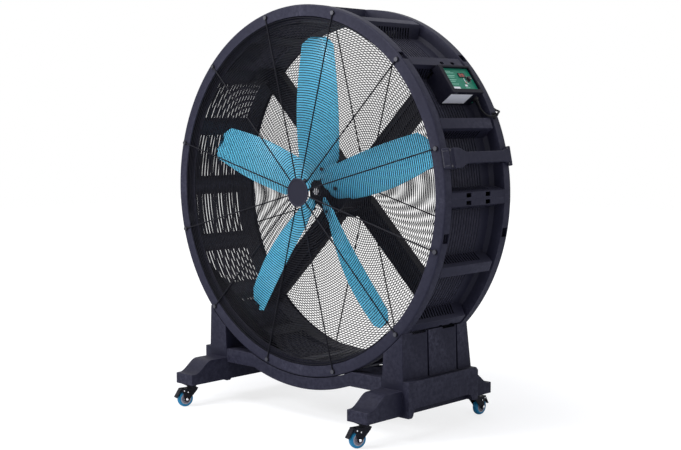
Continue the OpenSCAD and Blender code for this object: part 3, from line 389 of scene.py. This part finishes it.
RED = plastic("red print", (0.55, 0.035, 0.020), 0.40, (0.6, 0.1, 0.08), 0.1, depth=0.00002, mottle=0.05)
NUT = metal("dark zinc", (0.06, 0.06, 0.07), 0.45, 0.6)
BRASS = metal("plug brass", (0.62, 0.45, 0.20), 0.25)


def lit_red():
    """Red digits that glow behind a dark screen."""
    m, t, s = material("lit digits")
    at = add(t, "ShaderNodeTexCoord").outputs["Object"]
    flicker = ramp(t, noise(t, at, 900.0, 1.0), [(0.2, 0.75), (0.7, 1.0)])
    t.links.new(mix(t, flicker, (0.5, 0.03, 0.02, 1), (0.95, 0.09, 0.05, 1)), s.inputs["Emission Color"])
    s.inputs["Base Color"].default_value = (0.1, 0.01, 0.01, 1)
    s.inputs["Emission Strength"].default_value = 0.35
    return m


LIT = lit_red()


SHEET = 0.0005  # thickness of the motor's laminations


def core_finish():
    """Stacked laminations with varnished copper in between."""
    m, t, s = material("laminated core")
    at = add(t, "ShaderNodeTexCoord").outputs["Object"]
    y = add(t, "ShaderNodeSeparateXYZ", _0=at).outputs["Y"]
    sheet = math(t, "PINGPONG", y, SHEET)
    line = ramp(t, math(t, "MULTIPLY", sheet, 1 / SHEET), [(0.1, 0.25), (0.35, 1.0)])
    blotch = noise(t, at, 40.0, 3.0)
    color = mix(t, blotch, (0.42, 0.20, 0.08, 1), (0.26, 0.22, 0.20, 1))
    t.links.new(scaled(t, color, line), s.inputs["Base Color"])
    t.links.new(math(t, "ADD", math(t, "MULTIPLY", blotch, 0.2), 0.3), s.inputs["Roughness"])
    s.inputs["Metallic"].default_value = 0.8
    bump(t, s, line, 0.4, 0.0001)
    return m


FINISH["motor_core"] = core_finish()
SLOT_OF = {p["node"]: p["material_slot"] for p in frame["record"]["subparts"]}
for name, node in NODES.items():
    node.data.materials.clear()
    node.data.materials.append(NUT if name == "shaft_nut" else FINISH[SLOT_OF[name]])


# ---- Making pieces ----

def finish_piece(name, bm, body, slot, mat=None, replaces=(), smooth=35, weighted=True):
    """Turns a bmesh into a piece of the object that rides on a body."""
    me = bpy.data.meshes.new(name)
    bmesh.ops.recalc_face_normals(bm, faces=bm.faces)
    bm.to_mesh(me)
    bm.free()
    for p in me.polygons:
        p.use_smooth = True
    me.set_sharp_from_angle(angle=radians(smooth))
    me.materials.append(mat or FINISH[slot])
    o = bpy.data.objects.new(name, me)
    bpy.context.scene.collection.objects.link(o)
    if weighted:
        w = o.modifiers.new("face weight", "WEIGHTED_NORMAL")
        w.keep_sharp = True
    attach(o, body)
    if replaces:
        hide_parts(*replaces)
    return o


def merged(node):
    """A joined-up copy of a frame solid, its flat faces whole."""
    bm = bmesh.new()
    bm.from_mesh(NODES[node].data)
    bmesh.ops.remove_doubles(bm, verts=bm.verts, dist=1e-5)
    bmesh.ops.dissolve_limit(bm, angle_limit=radians(0.5), verts=bm.verts, edges=bm.edges)
    return bm


def soften(bm, radius, segments=2, angle=28, keep=None):
    """Rounds the edges that are sharper than the angle."""
    edges = [e for e in bm.edges if len(e.link_faces) == 2 and e.calc_face_angle() > radians(angle)
             and (keep is None or keep(e))]
    bmesh.ops.bevel(bm, geom=edges, offset=radius, offset_type="OFFSET", segments=segments,
                    profile=0.5, affect="EDGES", material=-1, clamp_overlap=False)
    bmesh.ops.remove_doubles(bm, verts=bm.verts, dist=1e-6)


def dressed(node, radius, segments=2, angle=28, smooth=35, keep=None):
    """A copy of a frame solid with rounded edges, shown in its place."""
    bm = merged(node)
    soften(bm, radius, segments, angle, keep)
    return finish_piece(node + "_body", bm, BODY_OF[node], SLOT_OF[node], replaces=(node,), smooth=smooth)


def lathe(bm, place, profile, steps=32):
    """Spins (radius, height) points about the place's Z."""
    verts = [bm.verts.new(place @ Vector((r, 0, h))) for r, h in profile]
    edges = [bm.edges.new(pair) for pair in zip(verts, verts[1:])]
    bmesh.ops.spin(bm, geom=verts + edges, cent=place.translation, axis=place.to_3x3() @ Vector((0, 0, 1)),
                   angle=2 * pi, steps=steps, use_merge=True)
    bmesh.ops.remove_doubles(bm, verts=bm.verts, dist=1e-6)


def prism(bm, place, outline, z0, z1):
    """Extrudes an (x, y) outline along the place's Z."""
    face = bm.faces.new([bm.verts.new(place @ Vector((x, y, z0))) for x, y in outline])
    out = bmesh.ops.extrude_face_region(bm, geom=[face])["geom"]
    bmesh.ops.translate(bm, vec=place.to_3x3() @ Vector((0, 0, z1 - z0)),
                        verts=[v for v in out if isinstance(v, bmesh.types.BMVert)])


def block(bm, place, lo, hi):
    """A box between two corners."""
    lo, hi = Vector(lo), Vector(hi)
    bmesh.ops.create_cube(bm, size=1, matrix=place @ Matrix.Translation((lo + hi) / 2)
                          @ Matrix.Diagonal((*(hi - lo), 1)))


def along_x(place, at):
    """A place whose Z runs along the given place's X, moved to a point of it."""
    return place @ Matrix.Translation(at) @ Matrix.Rotation(pi / 2, 4, "Y")


def along_y(place, at):
    """A place whose Z runs along the given place's Y, moved to a point of it."""
    return place @ Matrix.Translation(at) @ Matrix.Rotation(-pi / 2, 4, "X")


BOX = drum_place(BOX_A)
GRIP = drum_place(HANDLE_A)

# ---- Power cord, its coil, tie, strain relief and plug ----
CORD_R = 0.0045
COIL_R = 0.054
COIL_C = Vector((0.486, 0.2505, 0.5187))
PLUG_AT = Vector((0.432, 0.252, 0.4403))
LAY = 0.0091  # spacing of the turns in a row
ROW = 0.866 * LAY  # spacing of the rows
STEPS = 20  # points on one turn
SECTORS = 5  # parts of a turn, in one of which it moves over to the next place
MOVES = [4, 4, 4, 3, 2, 2, 2, 2, 1, 0, 0, 0]  # which part that is, for each turn but the last
COIL_START = 45  # where a turn starts, in degrees
LAST_STEPS = 27  # points on the last turn, which runs on to the left side
LEAD_IN = 0.046  # how far from the coil the cord bends into it
TIE_A = -40
TIE_R = (0.0140, 0.0232)
TIE_T = 0.0016
TIE_HALF = 0.008
CLIP_AT = Vector((0.767, 0.192, 0.344))
CLIP_A = 24.16
# The free loop, in mm from the middle of the drum
hang = [AXIS + Vector(p) / 1000 for p in (
    (729, 125, 374), (743, 133, 352), (757, 148, 338), (766, 168, 336), (767, 192, 344),
    (761, 216, 353), (744, 240, 358), (716, 255, 364), (684, 259, 384), (654, 260, 418),
    (628, 259, 452), (600, 256, 486))]
gland_end = BOX @ Vector((0.814, 0.122, -0.092))
down = BOX.to_3x3() @ Vector((0, 0, -1))


def coil_places():
    """Places of the thirteen turns in the coil's section, (outwards, backwards), as they are wound."""
    rows = [(-1, [-1.5, -0.5, 0.5, 1.5]), (0, [2, 1, 0, -1, -2]), (1, [-1.5, -0.5, 0.5, 1.5])]
    return [(row * ROW, side * LAY) for row, sides in rows for side in sides]


def coil_point(s, out, back):
    """A point of a turn, s steps on from where it starts."""
    a = radians(COIL_START + 360 * s / STEPS)
    return COIL_C + Vector((out * cos(a), back, out * sin(a)))


def coil_points():
    """The turns from the top right to the left side, each moved to the next place in its own sector."""
    places = coil_places()
    points = []
    for turn, place in enumerate(places[:-1]):
        nxt = places[turn + 1]
        for s in range(STEPS):
            t = min(1.0, max(0.0, s / STEPS * SECTORS - MOVES[turn]))
            t = t * t * (3 - 2 * t)
            out = COIL_R + place[0] * (1 - t) + nxt[0] * t
            points.append(coil_point(s, out, place[1] * (1 - t) + nxt[1] * t))
    last = places[-1]
    points += [coil_point(s, COIL_R + last[0], last[1]) for s in range(LAST_STEPS)]
    return [AXIS + p for p in points]


def cord_route():
    """From the gland round the free loop into the coil and down to the plug."""
    coil = coil_points()
    come_in = coil[0] + LEAD_IN * Vector((0.707, 0, -0.707))
    plug = AXIS + PLUG_AT
    tail = [coil[-1].lerp(plug, t) for t in (0.35, 0.62)] + [plug + Vector((0, 0, 0.014)), plug]
    into = [come_in, come_in.lerp(coil[0], 0.5)]
    return [gland_end, gland_end + 0.012 * down] + hang + into + coil + tail


def cord_curve(name, points, slot):
    """A smooth cord through the points."""
    c = bpy.data.curves.new(name, "CURVE")
    c.dimensions = "3D"
    c.bevel_depth = CORD_R
    c.bevel_resolution = 4
    c.resolution_u = 4
    c.use_fill_caps = True
    line = c.splines.new("BEZIER")
    line.bezier_points.add(len(points) - 1)
    for b, p in zip(line.bezier_points, points):
        b.co = p
        b.handle_left_type = b.handle_right_type = "AUTO"
    c.materials.append(FINISH[slot])
    o = bpy.data.objects.new(name, c)
    bpy.context.scene.collection.objects.link(o)
    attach(o, FIXED)
    return o


def tube(bm, rings, closed=False):
    """Faces between rings of points that follow each other; closed joins the last to the first."""
    for near, far in zip(rings, rings[1:] + (rings[:1] if closed else [])):
        n = len(near)
        for q in range(n):
            bm.faces.new((near[q], near[(q + 1) % n], far[(q + 1) % n], far[q]))


def strain_relief():
    """A ribbed taper round the first stretch of the cord."""
    bm = bmesh.new()
    a, b, c = gland_end - 0.002 * down, gland_end + 0.012 * down, hang[0]
    count, sides = 23, 20
    thick, taper, groove = 0.0088, 0.0036, 0.0010
    rings = []
    for k in range(count):
        t = k / (count - 1)
        p = (1 - t) ** 2 * a + 2 * t * (1 - t) * b + t * t * c
        way = (2 * (1 - t) * (b - a) + 2 * t * (c - b)).normalized()
        side = way.cross(Vector((0, 1, 0))).normalized()
        up = side.cross(way)
        r = thick - taper * t - (groove if k % 4 in (2, 3) and k < count - 2 else 0.0)
        rings.append([bm.verts.new(p + r * (cos(2 * pi * q / sides) * side + sin(2 * pi * q / sides) * up))
                      for q in range(sides)])
    tube(bm, rings)
    bm.faces.new(rings[0])
    bm.faces.new(rings[-1])
    return finish_piece("strain_relief", bm, FIXED, "cord_black", smooth=50)


def plug_pieces():
    """A round plug with a ribbed neck, two flat pins and a round pin."""
    at = Matrix.Translation(AXIS + PLUG_AT) @ Matrix.Rotation(pi, 4, "X")
    bm = bmesh.new()
    lathe(bm, at, [(0, -0.0005), (0.0064, 0), (0.0064, 0.003), (0.0074, 0.0035), (0.0074, 0.006),
                   (0.0066, 0.0065), (0.0066, 0.009), (0.0082, 0.0095), (0.0088, 0.0125), (0.0135, 0.0165),
                   (0.0150, 0.0200), (0.0150, 0.0235), (0.0143, 0.0242), (0.0143, 0.0258), (0.0150, 0.0265),
                   (0.0150, 0.0300), (0.0143, 0.0307), (0.0143, 0.0323), (0.0150, 0.0330), (0.0150, 0.0385),
                   (0.0138, 0.0400), (0, 0.0400)], 40)
    shell = finish_piece("plug_shell", bm, FIXED, "cord_black", replaces=("power_plug",), smooth=40)
    bm = bmesh.new()
    for x in (-0.0065, 0.0065):
        block(bm, at, (x - 0.0008, -0.0032, 0.0395), (x + 0.0008, 0.0032, 0.058))
    soften(bm, 0.0005, 2)
    lathe(bm, at @ Matrix.Translation((0, -0.009, 0)), [(0, 0.0395), (0.0024, 0.0395), (0.0024, 0.058),
                                                      (0.0014, 0.0600), (0, 0.0600)], 20)
    pins = finish_piece("plug_pins", bm, FIXED, "bright_steel", BRASS, smooth=40)
    return [shell, pins]


def coil_tie():
    """A strap round all the turns, on the coil's lower right."""
    bm = bmesh.new()
    a = radians(TIE_A)
    out = Vector((cos(a), 0, sin(a)))
    way = Vector((-sin(a), 0, cos(a)))
    mid = AXIS + COIL_C + COIL_R * out
    place = Matrix.Translation(mid) @ Matrix((out, Vector((0, 1, 0)), way)).transposed().to_4x4()
    steps = 40
    loops = []
    for grow, z in ((0, -TIE_HALF), (0, TIE_HALF), (TIE_T, TIE_HALF), (TIE_T, -TIE_HALF)):
        rx, ry = TIE_R[0] + grow, TIE_R[1] + grow
        loops.append([bm.verts.new(place @ Vector((rx * cos(q), ry * sin(q), z)))
                      for q in [2 * pi * k / steps for k in range(steps)]])
    tube(bm, loops, closed=True)
    block(bm, place, (0.0150, -0.006, -0.0085), (0.0178, 0.008, 0.0085))
    return finish_piece("coil_tie", bm, FIXED, "cord_black", smooth=40)


def cord_clip():
    """A clip on the rear rim that holds the cord where it passes over."""
    place = drum_place(CLIP_A)
    reach = hypot(CLIP_AT.x, CLIP_AT.z)
    y, seat = CLIP_AT.y, DRUM_R + 0.0002
    bm = bmesh.new()
    lathe(bm, along_y(place, (reach, y - 0.006, 0)),
          [(0.0048, 0), (0.0068, 0), (0.0072, 0.001), (0.0072, 0.011), (0.0068, 0.012), (0.0048, 0.012),
           (0.0048, 0)], 28)
    block(bm, place, (seat, y - 0.006, -0.0045), (reach - 0.0058, y + 0.006, 0.0045))
    block(bm, place, (seat, y - 0.009, -0.0150), (DRUM_R + 0.0024, y + 0.009, 0.0150))
    for z in (-0.0105, 0.0105):
        lathe(bm, along_x(place, (DRUM_R + 0.0022, y, z)),
              [(0, 0), (0.0030, 0), (0.0026, 0.0014), (0, 0.0018)], 16)
    finish_piece("cord_clip", bm, FIXED, "cord_black")


route = cord_route()
lead = cord_curve("mains_cord", route, "cord_black")
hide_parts("power_cord", "cord_coil")
relief = strain_relief()
cord_clip()
tie = coil_tie()
plug_pieces() + [relief, tie]

# ---- Drum, base, motor and blades ----
GROOVE_Y = (-0.034, 0.163)  # middles of the grooves in a tower's outer face
GROOVE_REACH = 0.0075
TOWER_FACE_X = 0.585
TOWER_FOOT_Z = 0.25
BLADES = 5
ROOT_AT = (0, -0.098, -0.003)
ROOT_PITCH = 37
ROOT_HALF_T = 0.0042
# Outline of a blade's inner end in mm: distance from the axis, and along the chord
ROOT_OUTLINE = [(50, -28), (52, -40), (58, -51), (67, -60), (80, -67), (118, -76), (150, -85), (150, 80),
                (118, 66), (84, 58), (62, 52), (54, 47), (50, 38)]


def off_groove(edge):
    """Whether an edge lies clear of the two grooves in a tower's outer face."""
    mid = (edge.verts[0].co + edge.verts[1].co) / 2
    off = min(abs(mid.y - y) for y in GROOVE_Y)
    return abs(mid.x) < TOWER_FACE_X or mid.z < TOWER_FOOT_Z or off > GROOVE_REACH


for node in ["shroud_upper_right", "shroud_upper_left", "shroud_lower_right", "shroud_lower_left"]:
    dressed(node, 0.0009, 1)
for node in ["base_right", "base_left"]:
    dressed(node, 0.0022, 2, keep=off_groove)
for node in ["front_crossbar", "rear_crossbar"]:
    dressed(node, 0.003, 2)
dressed("carry_handle", 0.004, 3)
dressed("control_box", 0.0015, 2)
dressed("front_badge", 0.0012, 2).data.materials[0] = BADGE
for node in ["blade_%d" % (k + 1) for k in range(BLADES)]:
    dressed(node, 0.0008, 1, angle=50, smooth=40)
for node in ["blade_hub", "motor_cross", "motor_body", "motor_front_cap"]:
    dressed(node, 0.001, 1)


def nut_ring():
    """Bright edge on the front of the shaft nut."""
    front = Matrix.Translation((AXIS.x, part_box("shaft_nut")[0][1], AXIS.z))
    bm = bmesh.new()
    lathe(bm, along_y(front, (0, 0, 0)) @ Matrix.Rotation(pi, 4, "X"),
          [(0.0125, -0.0004), (0.0125, 0.0008), (0.0135, 0.0014), (0.0155, 0.0014), (0.0165, 0.0006),
           (0.0165, -0.0004), (0.0125, -0.0004)], 48)
    finish_piece("nut_ring", bm, BODY_OF["shaft_nut"], "bright_steel", smooth=30)


def blade_roots():
    """Inner ends of the blades, from their lugs in to the hub."""
    bm = bmesh.new()
    for k in range(BLADES):
        root = drum_place(90 - 360 / BLADES * k) @ Matrix.Translation(ROOT_AT)
        place = along_y(root @ Matrix.Rotation(radians(ROOT_PITCH), 4, "X"), (0, 0, 0))
        prism(bm, place, [(r / 1000, -v / 1000) for r, v in ROOT_OUTLINE], -ROOT_HALF_T, ROOT_HALF_T)
    finish_piece("blade_roots", bm, BODY_OF["blade_hub"], "blade_blue", smooth=30)


def handle_insert():
    """The paler insert on the sloping front end of the grip bar."""
    bm = bmesh.new()
    prism(bm, GRIP, [(0.8292, -0.2252), (0.8408, -0.2030), (0.8396, -0.2022), (0.8280, -0.2240)],
          -0.038, 0.038)
    soften(bm, 0.0006, 1)
    for z in (-0.030, 0.030):
        prism(bm, GRIP, [(0.8300, -0.2244), (0.8416, -0.2024), (0.8404, -0.2018), (0.8290, -0.2236)],
              z - 0.0015, z + 0.0015)
    finish_piece("handle_insert", bm, FIXED, "drum_plastic", INSERT)


nut_ring()
blade_roots()
handle_insert()

# ---- Control panel, in the box's frame: X outwards, Y to the back, Z up the panel ----
PANEL_X = 0.840
KNOB_AT = (0.103, -0.004)
DISPLAY_AT = (0.050, 0.006, 0.095, 0.027)
PRINT_T = 0.0004  # thickness of labels and print
LOWER_FACE_Z = -0.080


def panel_piece(name, blocks, mat):
    """Thin plates on the panel, each (y0, z0, y1, z1)."""
    bm = bmesh.new()
    for y0, z0, y1, z1 in blocks:
        block(bm, BOX, (PANEL_X, y0, z0), (PANEL_X + PRINT_T, y1, z1))
    finish_piece(name, bm, FIXED, "panel_green", mat)


def under_piece(name, x0, y0, x1, y1, slot, mat=None):
    """A thin plate on the box's lower face."""
    bm = bmesh.new()
    block(bm, BOX, (x0, y0, LOWER_FACE_Z - PRINT_T), (x1, y1, LOWER_FACE_Z))
    finish_piece(name, bm, FIXED, slot, mat)


def display():
    """A case with a dark screen and two lit digits."""
    y0, z0, y1, z1 = DISPLAY_AT
    rim = 0.0022
    bm = bmesh.new()
    block(bm, BOX, (PANEL_X, y0, z0), (PANEL_X + 0.004, y1, z1))
    front = [f for f in bm.faces if (f.normal - BOX.to_3x3() @ Vector((1, 0, 0))).length < 0.1]
    bmesh.ops.inset_individual(bm, faces=front, thickness=0.002, depth=-0.0015)
    soften(bm, 0.0006, 2, 60)
    finish_piece("display_case", bm, FIXED, "knob_black")
    bm = bmesh.new()
    block(bm, BOX, (PANEL_X + rim, y0 + rim, z0 + rim), (PANEL_X + 0.0029, y1 - rim, z1 - rim))
    finish_piece("display_screen", bm, FIXED, "knob_black", SCREEN)
    bm = bmesh.new()
    for k, lit in enumerate(("abged", "abcdgf")):
        digit(bm, 0.0615 + 0.017 * k, 0.0165, lit)
    finish_piece("display_digits", bm, FIXED, "panel_green", LIT, weighted=False)


def digit(bm, y, z, lit):
    """The named ones of a digit's seven bars, which fill 10 mm by 14.4 mm."""
    w, h, t = 0.0040, 0.0062, 0.0010
    bars = {"a": (-w, h, w, h), "b": (w, 0, w, h), "c": (w, -h, w, 0), "d": (-w, -h, w, -h),
            "e": (-w, -h, -w, 0), "f": (-w, 0, -w, h), "g": (-w, 0, w, 0)}
    for name in lit:
        a0, b0, a1, b1 = bars[name]
        block(bm, BOX, (PANEL_X + 0.0028, y + a0 - t, z + b0 - t),
              (PANEL_X + 0.0032, y + a1 + t, z + b1 + t))


def knob():
    """The ribbed knob and its pale pointer."""
    at = along_x(BOX, (PANEL_X, *KNOB_AT))
    bm = bmesh.new()
    lathe(bm, at, [(0, 0.0007), (0.0125, 0.0007), (0.0128, 0.0020), (0.0112, 0.0032), (0.0100, 0.0040),
                   (0.0094, 0.0125), (0.0084, 0.0136), (0, 0.0132)], 48)
    for k in range(24):
        turned = at @ Matrix.Rotation(2 * pi * k / 24, 4, "Z")
        block(bm, turned, (0.0090, -0.0005, 0.0042), (0.0104, 0.0005, 0.0120))
    finish_piece("knob_shell", bm, BODY_OF["speed_knob"], "knob_black", replaces=("speed_knob",), smooth=30)
    bm = bmesh.new()
    block(bm, at @ Matrix.Rotation(radians(60), 4, "Z"), (0.0030, -0.0008, 0.0128), (0.0090, 0.0008, 0.0138))
    finish_piece("knob_pointer", bm, BODY_OF["speed_knob"], "knob_black", LABEL)


def knob_scale():
    """A widening pale arc with tick marks round the knob."""
    at = along_x(BOX, (PANEL_X, *KNOB_AT))
    bm = bmesh.new()
    steps, r = 24, 0.0235
    inner, outer = [], []
    for k in range(steps + 1):
        a = radians(200 + 95 * k / steps)
        spread = 0.0045 * sin(pi * (0.12 + 0.88 * k / steps) / 1.06)
        inner.append((r * sin(a), r * cos(a)))
        outer.append(((r + spread) * sin(a), (r + spread) * cos(a)))
    turn = at @ Matrix.Rotation(pi / 2, 4, "Z")
    for k in range(steps):
        prism(bm, turn, [inner[k], inner[k + 1], outer[k + 1], outer[k]], 0.0, PRINT_T)
    for k in range(11):
        a = radians(-135 + 27 * k)
        block(bm, at @ Matrix.Rotation(a, 4, "Z"), (-0.0190, -0.0004, 0), (-0.0160, 0.0004, PRINT_T))
    bmesh.ops.remove_doubles(bm, verts=bm.verts, dist=1e-6)
    finish_piece("knob_scale", bm, FIXED, "panel_green", LABEL)


def box_marks():
    """Blank labels and lines on the panel and on the box's lower face."""
    panel_piece("panel_label", [(-0.037, -0.059, 0.020, -0.043)], LABEL)
    rows = [(-0.033, 0.036, 0.012), (-0.030, 0.028, 0.030), (-0.032, 0.014, 0.026),
            (-0.033, 0.006, 0.018), (-0.034, -0.008, 0.022), (-0.034, -0.016, 0.010),
            (-0.034, -0.030, 0.024), (0.060, -0.048, 0.088)]
    panel_piece("panel_lines", [(y0, z, y1, z + 0.0016) for y0, z, y1 in rows], PALE)
    panel_piece("panel_red_mark", [(0.077, -0.024, 0.084, -0.015)], RED)
    panel_piece("panel_tab", [(0.062, -0.040, 0.078, -0.031)], LABEL)
    under_piece("box_sticker", 0.775, -0.061, 0.836, 0.084, "box_plastic", LABEL)
    under_piece("box_small_label", 0.8385, -0.050, 0.8475, -0.028, "box_plastic", INSERT)
    under_piece("box_green_tag", 0.777, 0.132, 0.785, 0.142, "panel_green")


def box_side_cap():
    """A round cap on the rear wall of the box."""
    bm = bmesh.new()
    lathe(bm, along_y(BOX, (0.832, 0.146, -0.022)),
          [(0, 0.0002), (0.0165, 0.0002), (0.0165, 0.0050), (0.0150, 0.0060), (0.0145, 0.0120),
           (0.0120, 0.0175), (0.0070, 0.0205), (0, 0.0215)], 40)
    finish_piece("box_side_cap", bm, FIXED, "knob_black", smooth=40)


display()
box_side_cap()
knob()
knob_scale()
box_marks()

# ---- Casters, each in its own frame: X along the axle, Y to the wheel, Z up ----
FORK_OUT = 0.0200
AXLE_AT = (0.033, 0.0375)
PIN_AT = (0.046, 0.078)
RIVET_AT = (0.027, 0.070)
PIN_HEAD = [(0, 0), (0.0032, 0), (0.0029, 0.0010), (0.0017, 0.0017), (0, 0.0019)]


def both_ends(bm, place, out, at, profile, steps):
    """The same turned head on both sides of a fork, at (y, z)."""
    for flip in (1, -1):
        turned = place @ Matrix.Rotation(0 if flip > 0 else pi, 4, "Z")
        lathe(bm, along_x(turned, (out, flip * at[0], at[1])), profile, steps)


def caster_details(k):
    """Rounded fork and pedal, axle nuts, rivets, the pedal's pin ends and its ribs."""
    place = caster_place(k)
    swivel, pedal = BODY_OF["fork_" + k], BODY_OF["brake_pedal_" + k]
    dressed("fork_" + k, 0.0006, 1)
    dressed("brake_pedal_" + k, 0.0010, 2)
    bm = bmesh.new()
    both_ends(bm, place, FORK_OUT + 0.0042, AXLE_AT,
              [(0, 0), (0.0064, 0), (0.0064, 0.0022), (0.0055, 0.0036), (0.0032, 0.0046), (0, 0.0050)], 24)
    both_ends(bm, place, FORK_OUT + 0.0020, RIVET_AT, PIN_HEAD, 20)
    finish_piece("caster_nuts_" + k, bm, swivel, "bright_steel", smooth=40)
    bm = bmesh.new()
    both_ends(bm, place, FORK_OUT + 0.0020, PIN_AT, PIN_HEAD, 20)
    finish_piece("pedal_pin_ends_" + k, bm, pedal, "bright_steel", smooth=40)
    pedal_ribs(k, place, pedal)


def pedal_ribs(k, place, body):
    """Raised bars across the sloping plate of a brake pedal."""
    top = Vector((0, PIN_AT[0] + 0.014, PIN_AT[1] + 0.008))
    foot = Vector((0, PIN_AT[0] + 0.038, PIN_AT[1] - 0.031))
    way = (foot - top).normalized()
    out = Vector((0, -way.z, way.y))
    slope = place @ Matrix.Translation(top) @ Matrix((Vector((1, 0, 0)), way, out)).transposed().to_4x4()
    bm = bmesh.new()
    for n in range(5):
        s = 0.006 + 0.0082 * n
        block(bm, slope, (-0.0135, s - 0.0013, -0.0003), (0.0135, s + 0.0013, 0.0013))
    soften(bm, 0.0004, 1)
    finish_piece("pedal_ribs_" + k, bm, body, "black_steel")


for k in CASTERS:
    caster_details(k)

# ---- Floor, light ----
FADE_FROM, FADE_TO = 0.9, 2.0  # where the floor starts to turn white, and where it is

world = bpy.data.worlds.new("studio")
bpy.context.scene.world = world
world.use_nodes = True
wt = world.node_tree
back = wt.nodes["Background"]
back.inputs["Color"].default_value = (0.93, 0.95, 1.0, 1)
back.inputs["Strength"].default_value = 0.55
path = add(wt, "ShaderNodeLightPath")
white = add(wt, "ShaderNodeBackground", Color=(1, 1, 1, 1), Strength=1.0)
seen = math(wt, "MAXIMUM", math(wt, "MAXIMUM", path.outputs["Is Camera Ray"], path.outputs["Is Glossy Ray"]),
            path.outputs["Is Transmission Ray"])
both = add(wt, "ShaderNodeMixShader", _0=seen, _1=back.outputs[0], _2=white.outputs[0])
wt.links.new(both.outputs[0], wt.nodes["World Output"].inputs["Surface"])


def floor():
    """A pale floor whose far part is white for the camera, so that no horizon shows."""
    bm = bmesh.new()
    bmesh.ops.create_grid(bm, x_segments=1, y_segments=1, size=12)
    me = bpy.data.meshes.new("floor")
    bm.to_mesh(me)
    bm.free()
    m, t, s = material("pale floor")
    s.inputs["Base Color"].default_value = (0.86, 0.87, 0.92, 1)
    s.inputs["Roughness"].default_value = 0.8
    s.inputs["Specular IOR Level"].default_value = 0.1
    path = add(t, "ShaderNodeLightPath")
    at = add(t, "ShaderNodeTexCoord").outputs["Object"]
    xyz = add(t, "ShaderNodeSeparateXYZ", _0=at).outputs
    away = span(t, xyz["X"], xyz["Y"])
    far = add(t, "ShaderNodeMapRange", {"interpolation_type": "SMOOTHSTEP"}, Value=away,
              From_Min=FADE_FROM, From_Max=FADE_TO, To_Min=0.66, To_Max=1.0)
    glow = add(t, "ShaderNodeEmission", Color=(1, 1, 1, 1), Strength=1.15)
    part = math(t, "MULTIPLY", path.outputs["Is Camera Ray"], far.outputs[0])
    both = add(t, "ShaderNodeMixShader", _0=part, _1=s.outputs[0], _2=glow.outputs[0])
    t.links.new(both.outputs[0], t.nodes["Material Output"].inputs["Surface"])
    me.materials.append(m)
    o = bpy.data.objects.new("floor", me)
    bpy.context.scene.collection.objects.link(o)


def softbox(name, place, aim, size, power):
    """An area light that points at a place."""
    lamp = bpy.data.lights.new(name, "AREA")
    lamp.shape = "RECTANGLE"
    lamp.size, lamp.size_y = size
    lamp.energy = power
    o = bpy.data.objects.new(name, lamp)
    o.location = place
    o.rotation_euler = (Vector(aim) - Vector(place)).to_track_quat("-Z", "Y").to_euler()
    bpy.context.scene.collection.objects.link(o)


floor()
softbox("overhead", (0.2, -1.6, 4.4), (0, 0, 1.0), (3.0, 2.2), 120)
softbox("front left", (-2.2, -4.6, 3.4), (0, 0, 1.3), (1.8, 1.8), 215)
softbox("right", (4.6, -0.6, 2.8), (0.4, 0, 1.1), (1.6, 2.2), 35)

bpy.context.scene.view_settings.view_transform = "Standard"
